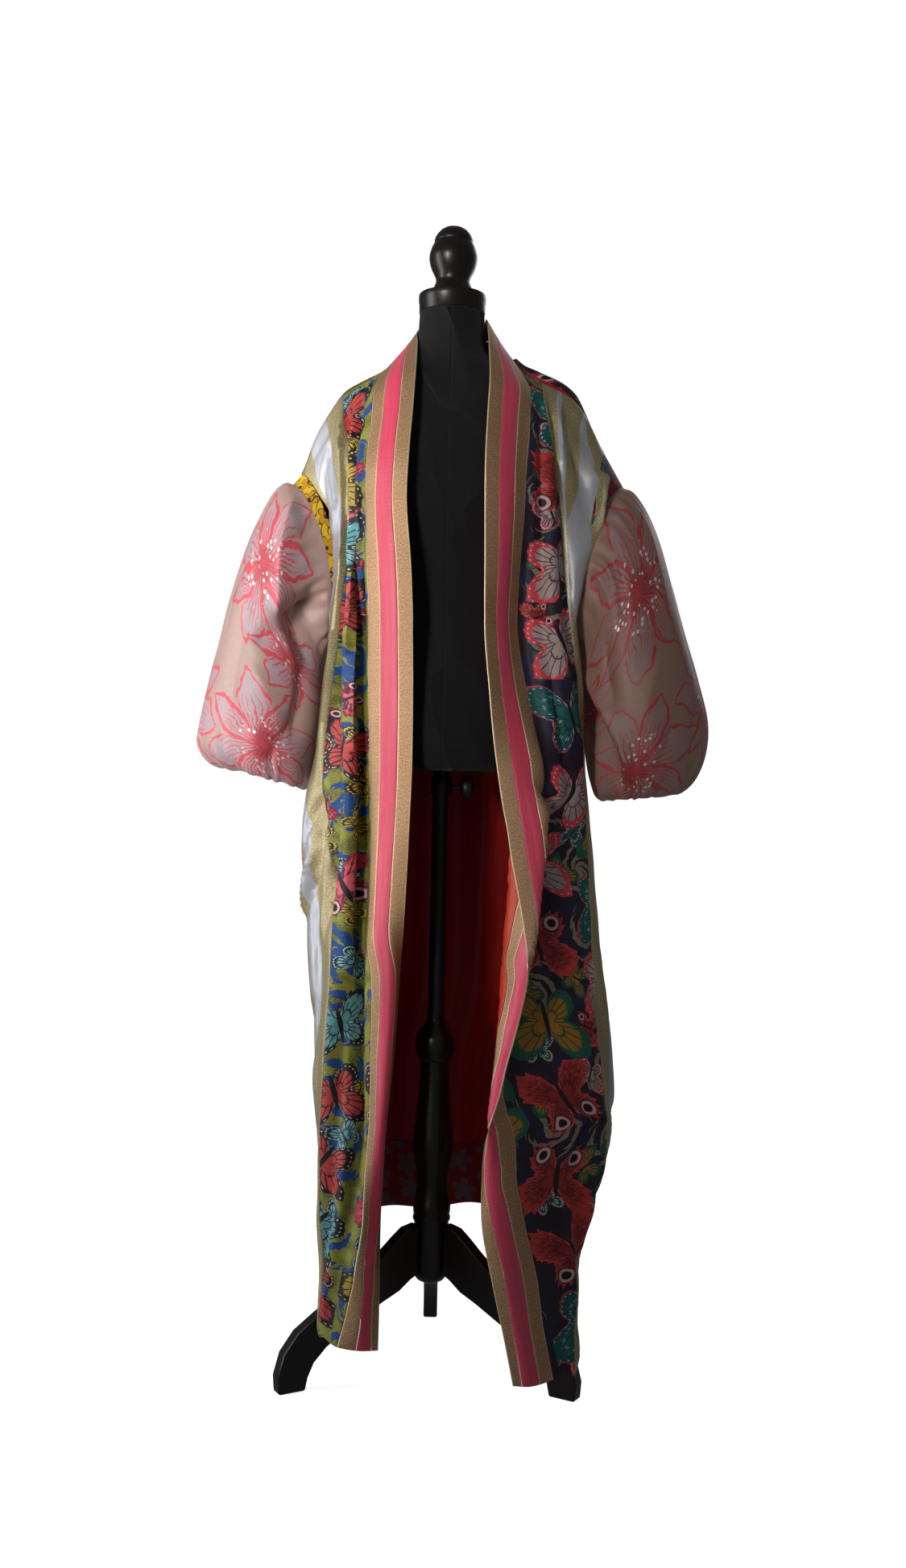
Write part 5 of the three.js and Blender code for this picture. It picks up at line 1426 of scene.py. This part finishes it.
def creaseHeights(creases, u, v):  # ridges and troughs between two places on the cloth
    made = np.zeros((len(v), len(u)))
    across, up = np.meshgrid(u, v)
    for startU, startV, endU, endV, width, height, *slow in creases:  # slow widens the side towards the body
        line = np.array((endU - startU, endV - startV), float)
        share = ((across - startU) * line[0] + (up - startV) * line[1]) / (line @ line)
        bow = np.sin(np.pi * np.clip(share, 0, 1)) * width * 0.5
        away = ((across - startU) * line[1] - (up - startV) * line[0]) / np.linalg.norm(line) + bow
        ends = softSteps(share, -0.12, 0.25) * (1 - softSteps(share, 0.7, 1.1))
        wide = np.where(away < 0, width * (slow[0] if slow else 1), width)
        made += height * ends * np.exp(-(np.abs(away / wide) ** 1.4))
    top = v.max()
    return made * softSteps(top - v, 4, 30)[:, None]


def pleatHeights(u, v, phase):
    across, up = np.meshgrid(u / u.max() * 2 * np.pi, v)
    wander = np.sin(across * 5 + phase) * 1.1 + np.sin(across * 11 + 2 * phase) * 0.6
    uneven = 0.65 + 0.35 * np.sin(across * 7 + 3 + phase)
    top, low = pleats["armhole"], pleats["cuff"]
    fromTop = v.max() - up
    high = softSteps(fromTop, 1.5, 12) * (1 - softSteps(fromTop, 14, top["reach"])) * top["depth"]
    made = high * uneven * np.sin(across * top["waves"] + wander)
    near = softSteps(up, 20, low["from"]) * (1 - softSteps(up, low["from"], low["to"])) * low["depth"]
    return made + near * uneven[::-1] * np.sin(across * low["waves"] + wander * 1.3)


for side in ("right", "left"):
    buildFront(side)
print("fronts built")
buildBack()
print("back built")
for side in ("right", "left"):
    buildSleeve(side)
print("sleeves built")

stage = {
    "floor": 30.0,  # metres across
    "floorColour": (0.86, 0.86, 0.87),
    "worldSeen": (1.0, 1.0, 1.0),
    "worldLight": 0.12,
    "floorGlow": 0.9,
}
lamps = (  # place, what it faces, width and height, power, spread in degrees, colour
    ("window", (-1.75, -0.42, 1.05), (0.0, 0.0, 0.85), (0.6, 2.0), 20.5, 180, (0.97, 0.98, 1.0)),
    ("room", (-1.2, -2.1, 1.42), (-0.28, -0.1, 1.28), (0.5, 1.25), 2.1, 29, (1.0, 0.96, 0.92)),
    ("rear", (1.4, 2.6, 2.4), (0.0, 0.0, 1.0), (1.8, 1.8), 16, 180, (1.0, 1.0, 1.0)),
)


def facing(away):  # turn of a lamp that shines from the direction away
    return (math.acos(away[2] / np.linalg.norm(away)), 0, math.atan2(away[0], -away[1]))


def buildStage():
    half = stage["floor"] / 2
    mesh = bpy.data.meshes.new("floor")
    corners = [(-half, -half, 0), (half, -half, 0), (half, half, 0), (-half, half, 0)]
    mesh.from_pydata(corners, [], [(0, 1, 2, 3)])
    white = {"Emission_Color": (1, 1, 1, 1), "Emission_Strength": stage["floorGlow"]}
    pale = Finish("paleFloor", Base_Color=(*stage["floorColour"], 1), Roughness=0.8, **white)
    mesh.materials.append(pale.material)
    floor = bpy.data.objects.new("floor", mesh)
    floor.visible_diffuse = False
    floor.visible_glossy = False
    bpy.context.collection.objects.link(floor)
    world = bpy.data.worlds.new("studio")
    bpy.context.scene.world = world
    world.use_nodes = True
    nodes, links = world.node_tree.nodes, world.node_tree.links
    light = nodes["Background"]
    light.inputs["Color"].default_value = (1, 1, 1, 1)
    light.inputs["Strength"].default_value = stage["worldLight"]
    seen = nodes.new("ShaderNodeBackground")
    seen.inputs["Color"].default_value = (*stage["worldSeen"], 1)
    path, mix = nodes.new("ShaderNodeLightPath"), nodes.new("ShaderNodeMixShader")
    links.new(path.outputs["Is Camera Ray"], mix.inputs[0])
    links.new(light.outputs[0], mix.inputs[1])
    links.new(seen.outputs[0], mix.inputs[2])
    links.new(mix.outputs[0], nodes["World Output"].inputs[0])
    for name, place, aim, size, power, spread, colour in lamps:
        lamp = bpy.data.lights.new(name, "AREA")
        lamp.shape, lamp.energy, lamp.color, lamp.spread = "RECTANGLE", power, colour, math.radians(spread)
        lamp.size, lamp.size_y = size
        holder = bpy.data.objects.new(name, lamp)
        bpy.context.collection.objects.link(holder)
        holder.location = place
        holder.rotation_euler = facing(np.array(place) - np.array(aim))


view = {
    "place": (0.0026, -2.337, 0.857),
    "roll": 1.32,  # degrees, to the right
    "sensor": 36,
    "lens": 36 * 1938 / 1947,
    "clip": (0.1, 40),
}


def buildCamera():
    lens = bpy.data.cameras.new("camera")
    lens.lens, lens.sensor_width = view["lens"], view["sensor"]
    lens.clip_start, lens.clip_end = view["clip"]
    camera = bpy.data.objects.new("camera", lens)
    bpy.context.collection.objects.link(camera)
    camera.location = view["place"]
    upright = Matrix.Rotation(math.radians(90), 4, "X")
    camera.rotation_euler = (upright @ Matrix.Rotation(math.radians(view["roll"]), 4, "Z")).to_euler()
    bpy.context.scene.camera = camera


buildStage()
buildCamera()
bpy.context.scene.view_settings.view_transform = "Standard"
print("stage and camera set")
